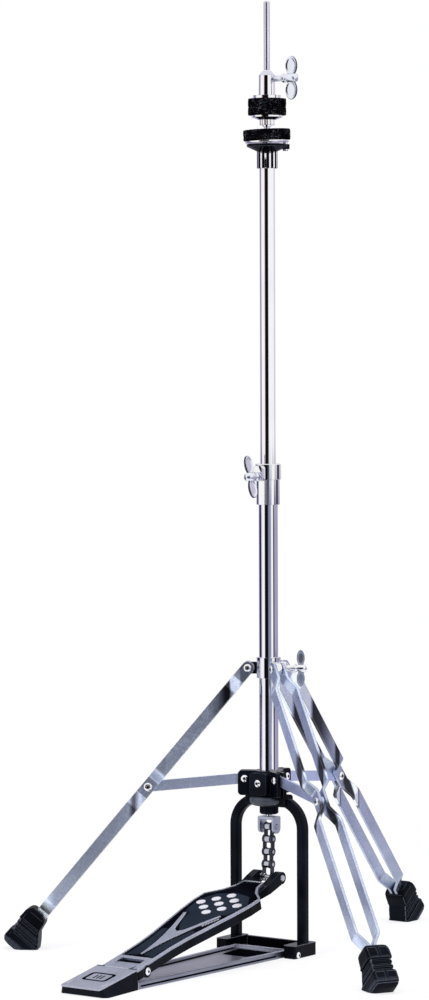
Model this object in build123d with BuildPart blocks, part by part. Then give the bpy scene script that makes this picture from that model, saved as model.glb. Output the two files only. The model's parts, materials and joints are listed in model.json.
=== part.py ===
from build123d import *
import math
import os

# A hi-hat stand with its pedal, in millimetres. +Z is up, and the origin is on the floor under the
# column's axis. The player sits toward -Y. One leg points to +Y, the other two to the front left and
# front right. Words used below: "radial" is outward from the column, "lateral" is across a leg.

# ---- driving dimensions -------------------------------------------------------------------------
RUNNING_FIT = 0.05
MOVING_GAP = 0.35

# column
ROD_R = 3.175
ROD_TOP = 952.0
ROD_JOINT_Z = 250.0
UPPER_TUBE_R = 7.94
UPPER_TUBE_WALL = 1.2
UPPER_TUBE_BOTTOM = 400.0
UPPER_TUBE_TOP = 796.0
LOWER_TUBE_R = 9.525
LOWER_TUBE_WALL = 1.0
LOWER_TUBE_BOTTOM = 151.0
LOWER_TUBE_TOP = 490.5
END_CAP_BOTTOM = 139.5
SPRING_BOTTOM = 160.0
SPRING_TOP = 240.0
SPRING_R = 5.9
SPRING_WIRE_R = 0.8
SPRING_TURNS = 6
COUPLING_R = 7.2
COUPLING_TOP = 262.0

# height clamp and the three wing bolts
CLAMP_TOP = 491.3
CLAMP_RING_BOTTOM = 475.5
CLAMP_SKIRT_BOTTOM = 450.5
CLAMP_KEEL_R = 13.4
CLAMP_BOLT_Z = 479.0
CLAMP_WING_LEAN = 12.0
BOLT_R = 3.0
WING_HUB_R = 4.6
WING_THICKNESS = 3.0
HUB_BOLT_ANGLE = 30.0
HUB_BOLT_Z = 286.2
CLUTCH_BOLT_Z = 874.4

# seat for the bottom cymbal
SEAT_TILT = 2.2
SEAT_TILT_ANGLE = 30.0
SEAT_PIVOT_Z = 811.3
SEAT_WASHER_R = 22.0
SEAT_WASHER_THICKNESS = 2.0
SEAT_FELT_R = 23.8
SEAT_FELT_THICKNESS = 11.0
SEAT_COLLAR_BOTTOM = 785.6
SEAT_CUP_BOTTOM = 802.5
SEAT_CUP_R = 20.5
SEAT_CUP_EDGE = 807.2
SEAT_CUP_RIM = 809.6
TILT_SCREW_RADIUS = 18.3
TILT_SCREW_R = 2.6
TILT_SCREW_BOTTOM = 802.8

# clutch
CLUTCH_BOTTOM = 827.0
CLUTCH_SLEEVE_R = 4.5
CLUTCH_FELT_R = 19.3
CLUTCH_FELT_BOTTOM = 838.2
CLUTCH_FELT_THICKNESS = 8.4
CLUTCH_NUT_BOTTOM = 828.6
CLUTCH_CONE_BOTTOM = 834.0
CLUTCH_BODY_BOTTOM = 858.0
CLUTCH_TOP = 883.0

# leg hub
HUB_BOTTOM = 276.7
HUB_TOP = 297.2
HUB_R = 12.0
LEG_ANGLES = {"left": 210.0, "right": -30.0, "rear": 90.0}
LEG_PIVOT_RADIUS = 20.7
LEG_PIVOT_Z = 286.7
LEG_SLOPE = 50.1
LEG_PIN_R = 2.0

# leg straps: stations along the leg from its pivot, and each strap's distance from the middle
STRAP_WIDTH = 12.7
STRAP_THICKNESS = 3.0
STRAP_END = 345.0
STRAP_AT_HUB = 4.75
STRAP_SPREAD = 11.5
STRAP_PINCHED = 3.3
LEG_RIVET_STATION = 157.7
FOOT_STATION = 326.0
FOOT_WIDTH = 26.0
FOOT_GROOVES = (344.0, 349.0, 354.0)
FOOT_GROOVE_WIDTH = 2.0
FOOT_GROOVE_DEPTH = 1.3
FOOT_BACK = 15.5

# struts from the base casting to the legs
STRUT_PIVOT_RADIUS = 24.1
STRUT_PIVOT_Z = 175.3
STRUT_LENGTH = 98.22
STRUT_SLOPE = 5.6
STRUT_WIDTH = 10.5
STRUT_THICKNESS = 2.8

# base casting and hoop
CASTING_BOTTOM = 148.5
CASTING_TOP = 183.5
EAR_BOTTOM = 158.5
CROSSBAR_TOP = 160.0
CLAMP_SCREW_Z = 171.8
CLAMP_SCREW_END = 19.5
HOOP_HALF_WIDTH = 41.0
HOOP_TOP = 153.7
HOOP_BEND = 28.0
HOOP_BAR = 10.0
HOOP_START = 11.5

# base channel and base plate
BLOCK_INNER = 34.5
BLOCK_OUTER = 48.5
BLOCK_FRONT = -25.0
BLOCK_BACK = 13.0
BLOCK_TOP = 13.0
CHANNEL_FLOOR = 2.0
CHANNEL_FRONT = -6.0
PLATE_PIN_Y = -19.0
PLATE_PIN_Z = 3.6
PLATE_PIN_START = 31.1
PLATE_TOE_Y = -12.0
PLATE_HEEL_Y = -250.0
PLATE_TOE_HALF = 34.1
PLATE_HEEL_HALF = 25.0
PLATE_TOP = 7.0
PLATE_RECESS = 4.2
PLATE_SHEET = 1.6

# heel
HINGE_Y = -231.0
HINGE_Z = 14.7
HINGE_PIN_R = 2.5
TONGUE_HALF = 13.8
HEEL_FRONT_Y = -250.0
HEEL_BACK_Y = -308.0
HEEL_FRONT_Z = 19.5
HEEL_BACK_Z = 8.5
HEEL_PLATE_THICKNESS = 1.3
HEEL_TOP_HALF = 23.8
HEEL_FOOT_HALF = (25.0, 29.0)
HEEL_UNDERCUT = 4.0

# footboard: "along" runs from the heel hinge to the toe, "up" is square to the board
BOARD_SLOPE = 14.25
BOARD_BOTTOM = -3.5
DECK_BOTTOM = 2.5
DECK_TOP = 5.0
INLAY_TOP = 6.3
TRIM_TOP = 7.5
TRIM_WIDTH = 1.9
SKIRT_THICKNESS = 2.6
KNUCKLE_R = 6.0
KNUCKLE_BACK = -15.5
KNUCKLE_HALF = 21.5
CROSSBAR_ALONG = 9.0
DECK_START = 14.0
TOE_PIN_ALONG = 237.0
TOE_PIN_UP = 3.0
TOE_PIN_R = 2.2
FORK_INNER = 9.5
FORK_OUTER = 17.5
STUD_SPACING = 22.0
STUD_CENTRE_ALONG = 151.6

# chain
CHAIN_PITCH = 12.7
CHAIN_LINKS = 4
CHAIN_PIN_R = 1.9
CHAIN_PLATE_R = 4.5
CHAIN_WAIST = 5.6
INNER_PLATE = (3.1, 4.2)
OUTER_PLATE = (4.3, 5.4)
CHAIN_PIN_END = 6.0
TOE_PIN_PLAY = 1.1
CLEVIS_TOP = 137.15
CLEVIS_BOTTOM = 120.0
CLEVIS_HALF = 9.8
CLEVIS_CHEEK = 2.5
CLEVIS_WEB = 3.0
CLEVIS_DEPTH = 12.0

# ---- places worked out from them ----------------------------------------------------------------
BOARD_TILT = math.radians(BOARD_SLOPE)
BOARD = Plane(
    origin=(0, HINGE_Y, HINGE_Z),
    x_dir=(1, 0, 0),
    z_dir=(0, -math.sin(BOARD_TILT), math.cos(BOARD_TILT)),
)
TOE_Y = HINGE_Y + TOE_PIN_ALONG * math.cos(BOARD_TILT) - TOE_PIN_UP * math.sin(BOARD_TILT)
TOE_Z = HINGE_Z + TOE_PIN_ALONG * math.sin(BOARD_TILT) + TOE_PIN_UP * math.cos(BOARD_TILT)
CHAIN_LENGTH = CHAIN_PITCH * CHAIN_LINKS
CLEVIS_PIN_Z = TOE_Z + math.sqrt(CHAIN_LENGTH**2 - TOE_Y**2)
SIDES = (1, -1)

os.makedirs("parts", exist_ok=True)


def finish(piece, name):
    """Labels a finished piece and writes its file."""
    piece.part.label = name
    export_step(piece.part, f"parts/{name}.step")


def spoke(angle, height, distance=0.0):
    """A plane square to the radial line at a plan angle, facing outward, with +Y of the plane up."""
    turn = math.radians(angle)
    outward = (math.cos(turn), math.sin(turn), 0)
    across = (-math.sin(turn), math.cos(turn), 0)
    origin = (distance * outward[0], distance * outward[1], height)
    return Plane(origin=origin, x_dir=across, z_dir=outward)


def upright(angle, height=0.0):
    """The vertical plane through the column at a plan angle: its x is radial and its y is up."""
    turn = math.radians(angle)
    return Plane(
        origin=(0, 0, height),
        x_dir=(math.cos(turn), math.sin(turn), 0),
        z_dir=(math.sin(turn), -math.cos(turn), 0),
    )


def turned(profile):
    """A solid of revolution about the column's axis from (radius, height) points."""
    with BuildPart() as piece:
        with BuildSketch(Plane.XZ):
            with BuildLine():
                Polyline(*profile, close=True)
            make_face()
        revolve(axis=Axis.Z)
    return piece


def ring(outer, inner, bottom, top):
    """A plain tube or washer on the column's axis."""
    return turned([(inner, bottom), (outer, bottom), (outer, top), (inner, top)])


# ---- column -------------------------------------------------------------------------------------
def make_lower_tube():
    with BuildPart() as tube:
        with BuildSketch(Plane.XY.offset(LOWER_TUBE_BOTTOM)):
            Circle(LOWER_TUBE_R)
            Circle(LOWER_TUBE_R - LOWER_TUBE_WALL, mode=Mode.SUBTRACT)
        extrude(amount=LOWER_TUBE_TOP - LOWER_TUBE_BOTTOM)
        with BuildSketch(spoke(-90, CLAMP_BOLT_Z)):
            Circle(BOLT_R + 0.5)
        extrude(amount=LOWER_TUBE_R + 1, mode=Mode.SUBTRACT)
    finish(tube, "lower_tube")


def make_end_cap():
    flange = LOWER_TUBE_R
    spigot = LOWER_TUBE_R - LOWER_TUBE_WALL
    bore = ROD_R + RUNNING_FIT
    cap = turned([
        (bore, END_CAP_BOTTOM),
        (flange - 1.2, END_CAP_BOTTOM),
        (flange, END_CAP_BOTTOM + 1.2),
        (flange, LOWER_TUBE_BOTTOM),
        (spigot, LOWER_TUBE_BOTTOM),
        (spigot, SPRING_BOTTOM),
        (bore, SPRING_BOTTOM),
    ])
    finish(cap, "lower_end_cap")


def make_spring():
    height = SPRING_TOP - SPRING_BOTTOM - 2 * SPRING_WIRE_R
    with BuildPart() as spring:
        with BuildLine():
            Helix(
                pitch=height / SPRING_TURNS,
                height=height,
                radius=SPRING_R,
                center=(0, 0, SPRING_BOTTOM + SPRING_WIRE_R),
            )
        with BuildSketch(Plane(origin=(SPRING_R, 0, SPRING_BOTTOM + SPRING_WIRE_R), z_dir=(0, 1, 0))):
            Circle(SPRING_WIRE_R)
        sweep(is_frenet=True)
        with BuildSketch(Plane.XY.offset(SPRING_BOTTOM)):
            Rectangle(4 * SPRING_R, 4 * SPRING_R)
        extrude(amount=SPRING_TOP - SPRING_BOTTOM, mode=Mode.INTERSECT)
    finish(spring, "return_spring")


def make_upper_tube():
    with BuildPart() as tube:
        with BuildSketch(Plane.XY.offset(UPPER_TUBE_BOTTOM)):
            Circle(UPPER_TUBE_R)
            Circle(UPPER_TUBE_R - UPPER_TUBE_WALL, mode=Mode.SUBTRACT)
        extrude(amount=UPPER_TUBE_TOP - UPPER_TUBE_BOTTOM)
    finish(tube, "upper_tube")
    guide_r = UPPER_TUBE_R - UPPER_TUBE_WALL
    guide = ring(guide_r, ROD_R + RUNNING_FIT, UPPER_TUBE_BOTTOM, UPPER_TUBE_BOTTOM + 12)
    finish(guide, "rod_guide")


def make_pull_rod():
    dome = 1.6
    upper = turned([
        (0, ROD_JOINT_Z),
        (ROD_R, ROD_JOINT_Z),
        (ROD_R, ROD_TOP - dome),
        (ROD_R * 0.62, ROD_TOP - 0.3),
        (0, ROD_TOP),
    ])
    finish(upper, "upper_pull_rod")
    with BuildPart() as lower:
        with BuildSketch(Plane.XY.offset(CLEVIS_TOP - CLEVIS_WEB)):
            Circle(ROD_R)
        extrude(amount=ROD_JOINT_Z - CLEVIS_TOP + CLEVIS_WEB)
    finish(lower, "lower_pull_rod")
    coupling = turned([
        (ROD_R, SPRING_TOP),
        (COUPLING_R, SPRING_TOP),
        (COUPLING_R, COUPLING_TOP - 3),
        (COUPLING_R - 2.5, COUPLING_TOP),
        (ROD_R, COUPLING_TOP),
    ])
    finish(coupling, "rod_coupling")


# ---- wing bolts ---------------------------------------------------------------------------------
def make_wing_bolt(name, angle, height, tip, hub, wing, span, lean=0.0):
    """A wing bolt on a radial axis: hub and wing are (from, to) distances along it."""
    wing_width = wing[1] - wing[0]
    wing_middle = (wing[0] + wing[1]) / 2
    wing_length = span / 2 - WING_HUB_R * 0.5
    with BuildPart() as bolt:
        with BuildSketch(spoke(angle, height, tip)):
            Circle(BOLT_R)
        extrude(amount=hub[0] - tip)
        with BuildSketch(spoke(angle, height, hub[0])):
            Circle(WING_HUB_R)
        extrude(amount=hub[1] - hub[0])
        fillet(bolt.faces().sort_by(Axis((0, 0, 0), spoke(angle, 0).z_dir))[-1].edges(), radius=1.4)
        with BuildSketch(upright(angle, height).rotated((lean, 0, 0))):
            for side in SIDES:
                with Locations((wing_middle, side * (span - wing_length) / 2)):
                    RectangleRounded(wing_width, wing_length, radius=wing_width * 0.42)
        extrude(amount=WING_THICKNESS / 2, both=True)
    finish(bolt, name)


# ---- height clamp -------------------------------------------------------------------------------
def make_height_clamp():
    boss_end = 18.0
    boss_width = 10.0
    split_width = 2.0
    with BuildPart() as clamp:
        with BuildSketch(Plane.XY.offset(CLAMP_SKIRT_BOTTOM)):
            Circle(11.6)
        extrude(amount=CLAMP_RING_BOTTOM - CLAMP_SKIRT_BOTTOM)
        with BuildSketch(Plane.XY.offset(CLAMP_SKIRT_BOTTOM)):
            with Locations((0, -CLAMP_KEEL_R / 2)):
                Rectangle(boss_width, CLAMP_KEEL_R)
        extrude(amount=CLAMP_RING_BOTTOM - CLAMP_SKIRT_BOTTOM)
        with BuildSketch(Plane.XY.offset(CLAMP_RING_BOTTOM)):
            Circle(13.0)
        extrude(amount=CLAMP_TOP - CLAMP_RING_BOTTOM)
        with BuildSketch(spoke(-90, CLAMP_BOLT_Z + 3)):
            RectangleRounded(boss_width, 15.5, radius=3)
        extrude(amount=boss_end)
        with BuildSketch(Plane.XY.offset(CLAMP_SKIRT_BOTTOM)):
            Circle(LOWER_TUBE_R)
        extrude(amount=LOWER_TUBE_TOP - CLAMP_SKIRT_BOTTOM, mode=Mode.SUBTRACT)
        with BuildSketch(Plane.XY.offset(LOWER_TUBE_TOP)):
            Circle(UPPER_TUBE_R + MOVING_GAP)
        extrude(amount=CLAMP_TOP - LOWER_TUBE_TOP, mode=Mode.SUBTRACT)
        with BuildSketch(spoke(-90, CLAMP_BOLT_Z)):
            Circle(BOLT_R + RUNNING_FIT)
        extrude(amount=boss_end, mode=Mode.SUBTRACT)
        with BuildSketch(spoke(-55, CLAMP_SKIRT_BOTTOM)):
            Rectangle(split_width, 2 * (CLAMP_RING_BOTTOM - CLAMP_SKIRT_BOTTOM))
        extrude(amount=boss_end, mode=Mode.SUBTRACT)
        chamfer(clamp.faces().sort_by(Axis.Z)[-1].outer_wire().edges(), length=0.7)
    finish(clamp, "height_clamp")
    with BuildPart() as bushing:
        with BuildSketch(Plane.XY.offset(LOWER_TUBE_TOP - 32)):
            Circle(LOWER_TUBE_R - LOWER_TUBE_WALL)
            Circle(UPPER_TUBE_R + RUNNING_FIT, mode=Mode.SUBTRACT)
        extrude(amount=32)
        with BuildSketch(spoke(-90, CLAMP_BOLT_Z)):
            Circle(BOLT_R + 0.5)
        extrude(amount=LOWER_TUBE_R, mode=Mode.SUBTRACT)
    finish(bushing, "clamp_bushing")


# ---- seat for the bottom cymbal -----------------------------------------------------------------
def make_seat():
    groove_r = 1.3
    flutes = 14
    collar_r = 10.4
    with BuildPart() as collar:
        with BuildSketch(Plane.XY.offset(SEAT_COLLAR_BOTTOM)):
            Circle(collar_r)
            with PolarLocations(collar_r + 0.4, flutes):
                Circle(groove_r, mode=Mode.SUBTRACT)
        extrude(amount=SEAT_CUP_BOTTOM - SEAT_COLLAR_BOTTOM)
        with BuildSketch(Plane.XY.offset(SEAT_COLLAR_BOTTOM)):
            Circle(UPPER_TUBE_R)
        extrude(amount=UPPER_TUBE_TOP - SEAT_COLLAR_BOTTOM, mode=Mode.SUBTRACT)
        with BuildSketch(Plane.XY.offset(UPPER_TUBE_TOP)):
            Circle(ROD_R + RUNNING_FIT)
        extrude(amount=SEAT_CUP_BOTTOM - UPPER_TUBE_TOP, mode=Mode.SUBTRACT)
    finish(collar, "seat_collar")
    with BuildPart() as cup:
        with BuildSketch(Plane.XZ):
            with BuildLine():
                Polyline(
                    (ROD_R + RUNNING_FIT, SEAT_CUP_BOTTOM),
                    (10.4, SEAT_CUP_BOTTOM),
                    (SEAT_CUP_R, SEAT_CUP_EDGE),
                    (SEAT_CUP_R, SEAT_CUP_RIM),
                    (19.0, 810.0),
                    (9.0, 810.2),
                    (7.0, SEAT_PIVOT_Z - 0.7),
                    (ROD_R + RUNNING_FIT, SEAT_PIVOT_Z - 0.35),
                    close=True,
                )
            make_face()
        revolve(axis=Axis.Z)
        with BuildSketch(Plane.XY.offset(SEAT_CUP_EDGE - 2.7)):
            with PolarLocations(TILT_SCREW_RADIUS, 1, start_angle=SEAT_TILT_ANGLE):
                Circle(TILT_SCREW_R + 1.6)
        extrude(amount=SEAT_CUP_RIM - SEAT_CUP_EDGE + 2.7)
        with BuildSketch(Plane.XY.offset(SEAT_CUP_BOTTOM)):
            with PolarLocations(TILT_SCREW_RADIUS, 1, start_angle=SEAT_TILT_ANGLE):
                Circle(TILT_SCREW_R + RUNNING_FIT)
        extrude(amount=SEAT_CUP_RIM, mode=Mode.SUBTRACT)
    finish(cup, "seat_cup")
    tilted = upright(SEAT_TILT_ANGLE, SEAT_PIVOT_Z)
    axis_tilt = math.radians(SEAT_TILT)
    normal = (
        -math.sin(axis_tilt) * tilted.x_dir.X,
        -math.sin(axis_tilt) * tilted.x_dir.Y,
        math.cos(axis_tilt),
    )
    seat = Plane(origin=(0, 0, SEAT_PIVOT_Z), x_dir=tilted.z_dir, z_dir=normal)
    hole_r = ROD_R + 1.6
    with BuildPart() as washer:
        with BuildSketch(seat):
            Circle(SEAT_WASHER_R)
            Circle(hole_r, mode=Mode.SUBTRACT)
        extrude(amount=SEAT_WASHER_THICKNESS)
        fillet(washer.edges().filter_by(GeomType.CIRCLE).sort_by(SortBy.RADIUS)[-2:], radius=0.6)
    finish(washer, "seat_washer")
    with BuildPart() as felt:
        with BuildSketch(seat.offset(SEAT_WASHER_THICKNESS)):
            Circle(SEAT_FELT_R)
            Circle(hole_r, mode=Mode.SUBTRACT)
        extrude(amount=SEAT_FELT_THICKNESS)
    finish(felt, "seat_felt")
    lift = TILT_SCREW_RADIUS * math.tan(axis_tilt)
    turn = math.radians(SEAT_TILT_ANGLE)
    spot = (TILT_SCREW_RADIUS * math.cos(turn), TILT_SCREW_RADIUS * math.sin(turn))
    with BuildPart() as screw:
        with BuildSketch(Plane.XY.offset(TILT_SCREW_BOTTOM)):
            with Locations(spot):
                Circle(TILT_SCREW_R)
        extrude(amount=SEAT_PIVOT_Z + lift - MOVING_GAP - 0.1 - TILT_SCREW_BOTTOM)
        with BuildSketch(Plane.XY.offset(TILT_SCREW_BOTTOM)):
            with Locations(spot):
                Rectangle(3 * TILT_SCREW_R, 0.8)
        extrude(amount=1.0, mode=Mode.SUBTRACT)
    finish(screw, "tilt_screw")


# ---- clutch -------------------------------------------------------------------------------------
def make_clutch():
    bore = ROD_R + RUNNING_FIT
    washer_bottom = CLUTCH_FELT_BOTTOM + 2 * CLUTCH_FELT_THICKNESS
    sleeve = ring(CLUTCH_SLEEVE_R, bore, CLUTCH_BOTTOM, CLUTCH_BODY_BOTTOM)
    finish(sleeve, "clutch_sleeve")
    with BuildPart() as body:
        with BuildSketch(Plane.XZ):
            with BuildLine():
                Polyline(
                    (bore, CLUTCH_BODY_BOTTOM),
                    (8.5, CLUTCH_BODY_BOTTOM),
                    (8.5, CLUTCH_BODY_BOTTOM + 8.0),
                    (7.6, CLUTCH_BODY_BOTTOM + 13.0),
                    (7.6, CLUTCH_TOP - 3.5),
                    (4.4, CLUTCH_TOP),
                    (bore, CLUTCH_TOP),
                    close=True,
                )
            make_face()
        revolve(axis=Axis.Z)
        with BuildSketch(spoke(0, CLUTCH_BOLT_Z)):
            Circle(BOLT_R + RUNNING_FIT)
        extrude(amount=12, mode=Mode.SUBTRACT)
    finish(body, "clutch_body")
    washer = ring(14.35, CLUTCH_SLEEVE_R, washer_bottom, CLUTCH_BODY_BOTTOM)
    finish(washer, "clutch_washer")
    middle = CLUTCH_FELT_BOTTOM + CLUTCH_FELT_THICKNESS
    lower_felt = ring(CLUTCH_FELT_R, CLUTCH_SLEEVE_R, CLUTCH_FELT_BOTTOM, middle)
    finish(lower_felt, "clutch_lower_felt")
    upper_felt = ring(CLUTCH_FELT_R, CLUTCH_SLEEVE_R, middle, washer_bottom)
    finish(upper_felt, "clutch_upper_felt")
    cone = turned([
        (CLUTCH_SLEEVE_R, CLUTCH_CONE_BOTTOM),
        (9.0, CLUTCH_CONE_BOTTOM),
        (15.5, CLUTCH_CONE_BOTTOM + 2.4),
        (15.5, CLUTCH_FELT_BOTTOM),
        (CLUTCH_SLEEVE_R, CLUTCH_FELT_BOTTOM),
    ])
    finish(cone, "clutch_lower_washer")
    with BuildPart() as nut:
        with BuildSketch(Plane.XY.offset(CLUTCH_NUT_BOTTOM)):
            Circle(7.8)
            Circle(CLUTCH_SLEEVE_R, mode=Mode.SUBTRACT)
            with PolarLocations(8.2, 12):
                Circle(0.8, mode=Mode.SUBTRACT)
        extrude(amount=CLUTCH_CONE_BOTTOM - CLUTCH_NUT_BOTTOM)
    finish(nut, "clutch_nut")


# ---- leg hub and legs ---------------------------------------------------------------------------
def make_leg_hub():
    ear_half = STRAP_AT_HUB - STRAP_THICKNESS / 2 - MOVING_GAP
    boss_end = 18.0
    with BuildPart() as hub:
        with BuildSketch(Plane.XY.offset(HUB_BOTTOM)):
            Circle(HUB_R)
        extrude(amount=HUB_TOP - HUB_BOTTOM)
        for angle in LEG_ANGLES.values():
            with BuildSketch(upright(angle, LEG_PIVOT_Z)):
                with Locations((LEG_PIVOT_RADIUS, 0)):
                    Circle(6.0)
                with Locations((LEG_PIVOT_RADIUS / 2, 0)):
                    Rectangle(LEG_PIVOT_RADIUS, 12.0)
                with Locations((LEG_PIVOT_RADIUS, 0)):
                    Circle(LEG_PIN_R, mode=Mode.SUBTRACT)
            extrude(amount=ear_half, both=True)
        with BuildSketch(spoke(HUB_BOLT_ANGLE, HUB_BOLT_Z)):
            Circle(6.5)
        extrude(amount=boss_end)
        with BuildSketch(Plane.XY.offset(HUB_BOTTOM)):
            Circle(LOWER_TUBE_R + RUNNING_FIT)
        extrude(amount=HUB_TOP - HUB_BOTTOM, mode=Mode.SUBTRACT)
        with BuildSketch(spoke(HUB_BOLT_ANGLE, HUB_BOLT_Z)):
            Circle(BOLT_R + RUNNING_FIT)
        extrude(amount=boss_end, mode=Mode.SUBTRACT)
    finish(hub, "leg_hub")
    pin_end = STRAP_AT_HUB + STRAP_THICKNESS / 2 + MOVING_GAP
    pivots = [
        headed_pin(upright(angle, LEG_PIVOT_Z), (LEG_PIVOT_RADIUS, 0), LEG_PIN_R, pin_end, 4.0)
        for angle in LEG_ANGLES.values()
    ]
    with BuildPart() as pins:
        add(pivots)
    finish(pins, "leg_pins")


def headed_pin(plane, spot, radius, half_length, head_r, head_height=1.8):
    """A pin square to a plane, with a tapered head past each end."""
    with BuildPart() as pin:
        with BuildSketch(plane):
            with Locations(spot):
                Circle(radius)
        extrude(amount=half_length, both=True)
        for side in SIDES:
            with BuildSketch(plane.offset(side * half_length)):
                with Locations(spot):
                    Circle(head_r)
            extrude(amount=side * head_height, taper=25)
    return pin.part


def leg_plane(angle):
    """The plane of a leg's straps seen from above: x runs down the leg and y is lateral."""
    turn = math.radians(angle)
    slope = math.radians(LEG_SLOPE)
    down = (
        math.cos(slope) * math.cos(turn),
        math.cos(slope) * math.sin(turn),
        -math.sin(slope),
    )
    normal = (
        math.sin(slope) * math.cos(turn),
        math.sin(slope) * math.sin(turn),
        math.cos(slope),
    )
    pivot = (
        LEG_PIVOT_RADIUS * math.cos(turn),
        LEG_PIVOT_RADIUS * math.sin(turn),
        LEG_PIVOT_Z,
    )
    return Plane(origin=pivot, x_dir=down, z_dir=normal)


def leg_side_plane(angle):
    """The vertical plane of a leg: x runs down the leg, y is square to it and outward."""
    base = leg_plane(angle)
    return Plane(origin=base.origin, x_dir=base.x_dir, z_dir=-base.y_dir)


STRAP_STATIONS = (
    (-STRAP_WIDTH / 2, STRAP_AT_HUB),
    (15.0, STRAP_AT_HUB),
    (27.5, STRAP_SPREAD),
    (137.5, STRAP_SPREAD),
    (147.5, STRAP_PINCHED),
    (168.0, STRAP_PINCHED),
    (182.0, STRAP_SPREAD),
    (311.0, STRAP_SPREAD),
    (FOOT_STATION - 3, STRAP_PINCHED),
    (STRAP_END, STRAP_PINCHED),
)


def make_leg_straps(name, angle):
    top = leg_plane(angle)
    side_view = leg_side_plane(angle)
    with BuildPart() as straps:
        for side in SIDES:
            with BuildSketch(top):
                with BuildLine():
                    FilletPolyline(*[(x, side * y) for x, y in STRAP_STATIONS], radius=5)
                trace(line_width=STRAP_THICKNESS)
            extrude(amount=STRAP_WIDTH / 2, both=True)
        with BuildSketch(side_view):
            with Locations((STRAP_END / 2, 0)):
                Rectangle(STRAP_END, STRAP_WIDTH)
            Circle(STRAP_WIDTH / 2)
            Circle(LEG_PIN_R + RUNNING_FIT, mode=Mode.SUBTRACT)
            with Locations((LEG_RIVET_STATION, 0)):
                Circle(LEG_PIN_R, mode=Mode.SUBTRACT)
        extrude(amount=2 * STRAP_SPREAD, both=True, mode=Mode.INTERSECT)
    finish(straps, f"{name}_leg_straps")
    inner = STRAP_PINCHED - STRAP_THICKNESS / 2
    outer = STRAP_PINCHED + STRAP_THICKNESS / 2
    with BuildPart() as rivets:
        for side in SIDES:
            with BuildSketch(side_view.offset(side * inner)):
                with Locations((LEG_RIVET_STATION, 0)):
                    Circle(LEG_PIN_R)
            extrude(amount=side * (outer - inner))
            with BuildSketch(side_view.offset(side * outer)):
                with Locations((LEG_RIVET_STATION, 0)):
                    Circle(4.4)
            extrude(amount=side * 1.9, taper=25)
    finish(rivets, f"{name}_leg_rivets")


def make_foot(name, angle):
    """The rubber foot: a boot round the strap ends, cut off level with the floor."""
    profile = (
        (238.6, 41.0),
        (243.6, 39.6),
        (247.4, 37.4),
        (270.2, 11.4),
        (268.2, 6.0),
        (256.2, 0.0),
        (240.6, 0.0),
        (232.6, 15.4),
        (227.6, 23.6),
        (226.6, 27.4),
        (229.0, 30.8),
    )
    top = leg_plane(angle)
    with BuildPart() as foot:
        with BuildSketch(upright(angle)):
            with BuildLine():
                Polyline(*profile, close=True)
            make_face()
        extrude(amount=FOOT_WIDTH / 2, both=True)
        lateral = Axis((0, 0, 0), upright(angle).z_dir)
        floor = foot.faces().sort_by(Axis.Z)[0]
        rim = foot.edges().filter_by(lateral, reverse=True) - floor.edges()
        fillet(rim, radius=2.5)
        with BuildSketch(top):
            for station in FOOT_GROOVES:
                with Locations((station, -FOOT_WIDTH / 2), (station, FOOT_WIDTH / 2)):
                    Rectangle(FOOT_GROOVE_WIDTH, 2 * FOOT_GROOVE_DEPTH)
        extrude(amount=FOOT_WIDTH, both=True, mode=Mode.SUBTRACT)
        with BuildSketch(leg_side_plane(angle)):
            with Locations(*[(station, FOOT_BACK) for station in FOOT_GROOVES]):
                Rectangle(FOOT_GROOVE_WIDTH, 2 * FOOT_GROOVE_DEPTH)
        extrude(amount=FOOT_WIDTH, both=True, mode=Mode.SUBTRACT)
        with BuildSketch(top):
            for side in SIDES:
                with Locations(((FOOT_STATION + STRAP_END) / 2 - 5, side * STRAP_PINCHED)):
                    Rectangle(STRAP_END - FOOT_STATION + 10, STRAP_THICKNESS)
        extrude(amount=STRAP_WIDTH / 2, both=True, mode=Mode.SUBTRACT)
    finish(foot, f"{name}_foot")


def make_strut(name, angle):
    slope = math.radians(STRUT_SLOPE)
    with BuildPart() as strut:
        with BuildSketch(upright(angle)):
            with Locations(
                Location(
                    (
                        STRUT_PIVOT_RADIUS + STRUT_LENGTH / 2 * math.cos(slope),
                        STRUT_PIVOT_Z - STRUT_LENGTH / 2 * math.sin(slope),
                        0,
                    ),
                    (0, 0, -STRUT_SLOPE),
                )
            ):
                SlotCenterToCenter(STRUT_LENGTH, STRUT_WIDTH)
                with Locations((-STRUT_LENGTH / 2, 0)):
                    Circle(LEG_PIN_R + RUNNING_FIT, mode=Mode.SUBTRACT)
                with Locations((STRUT_LENGTH / 2, 0)):
                    Circle(LEG_PIN_R + 0.8, mode=Mode.SUBTRACT)
        extrude(amount=STRUT_THICKNESS / 2, both=True)
    finish(strut, f"{name}_strut")


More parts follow.
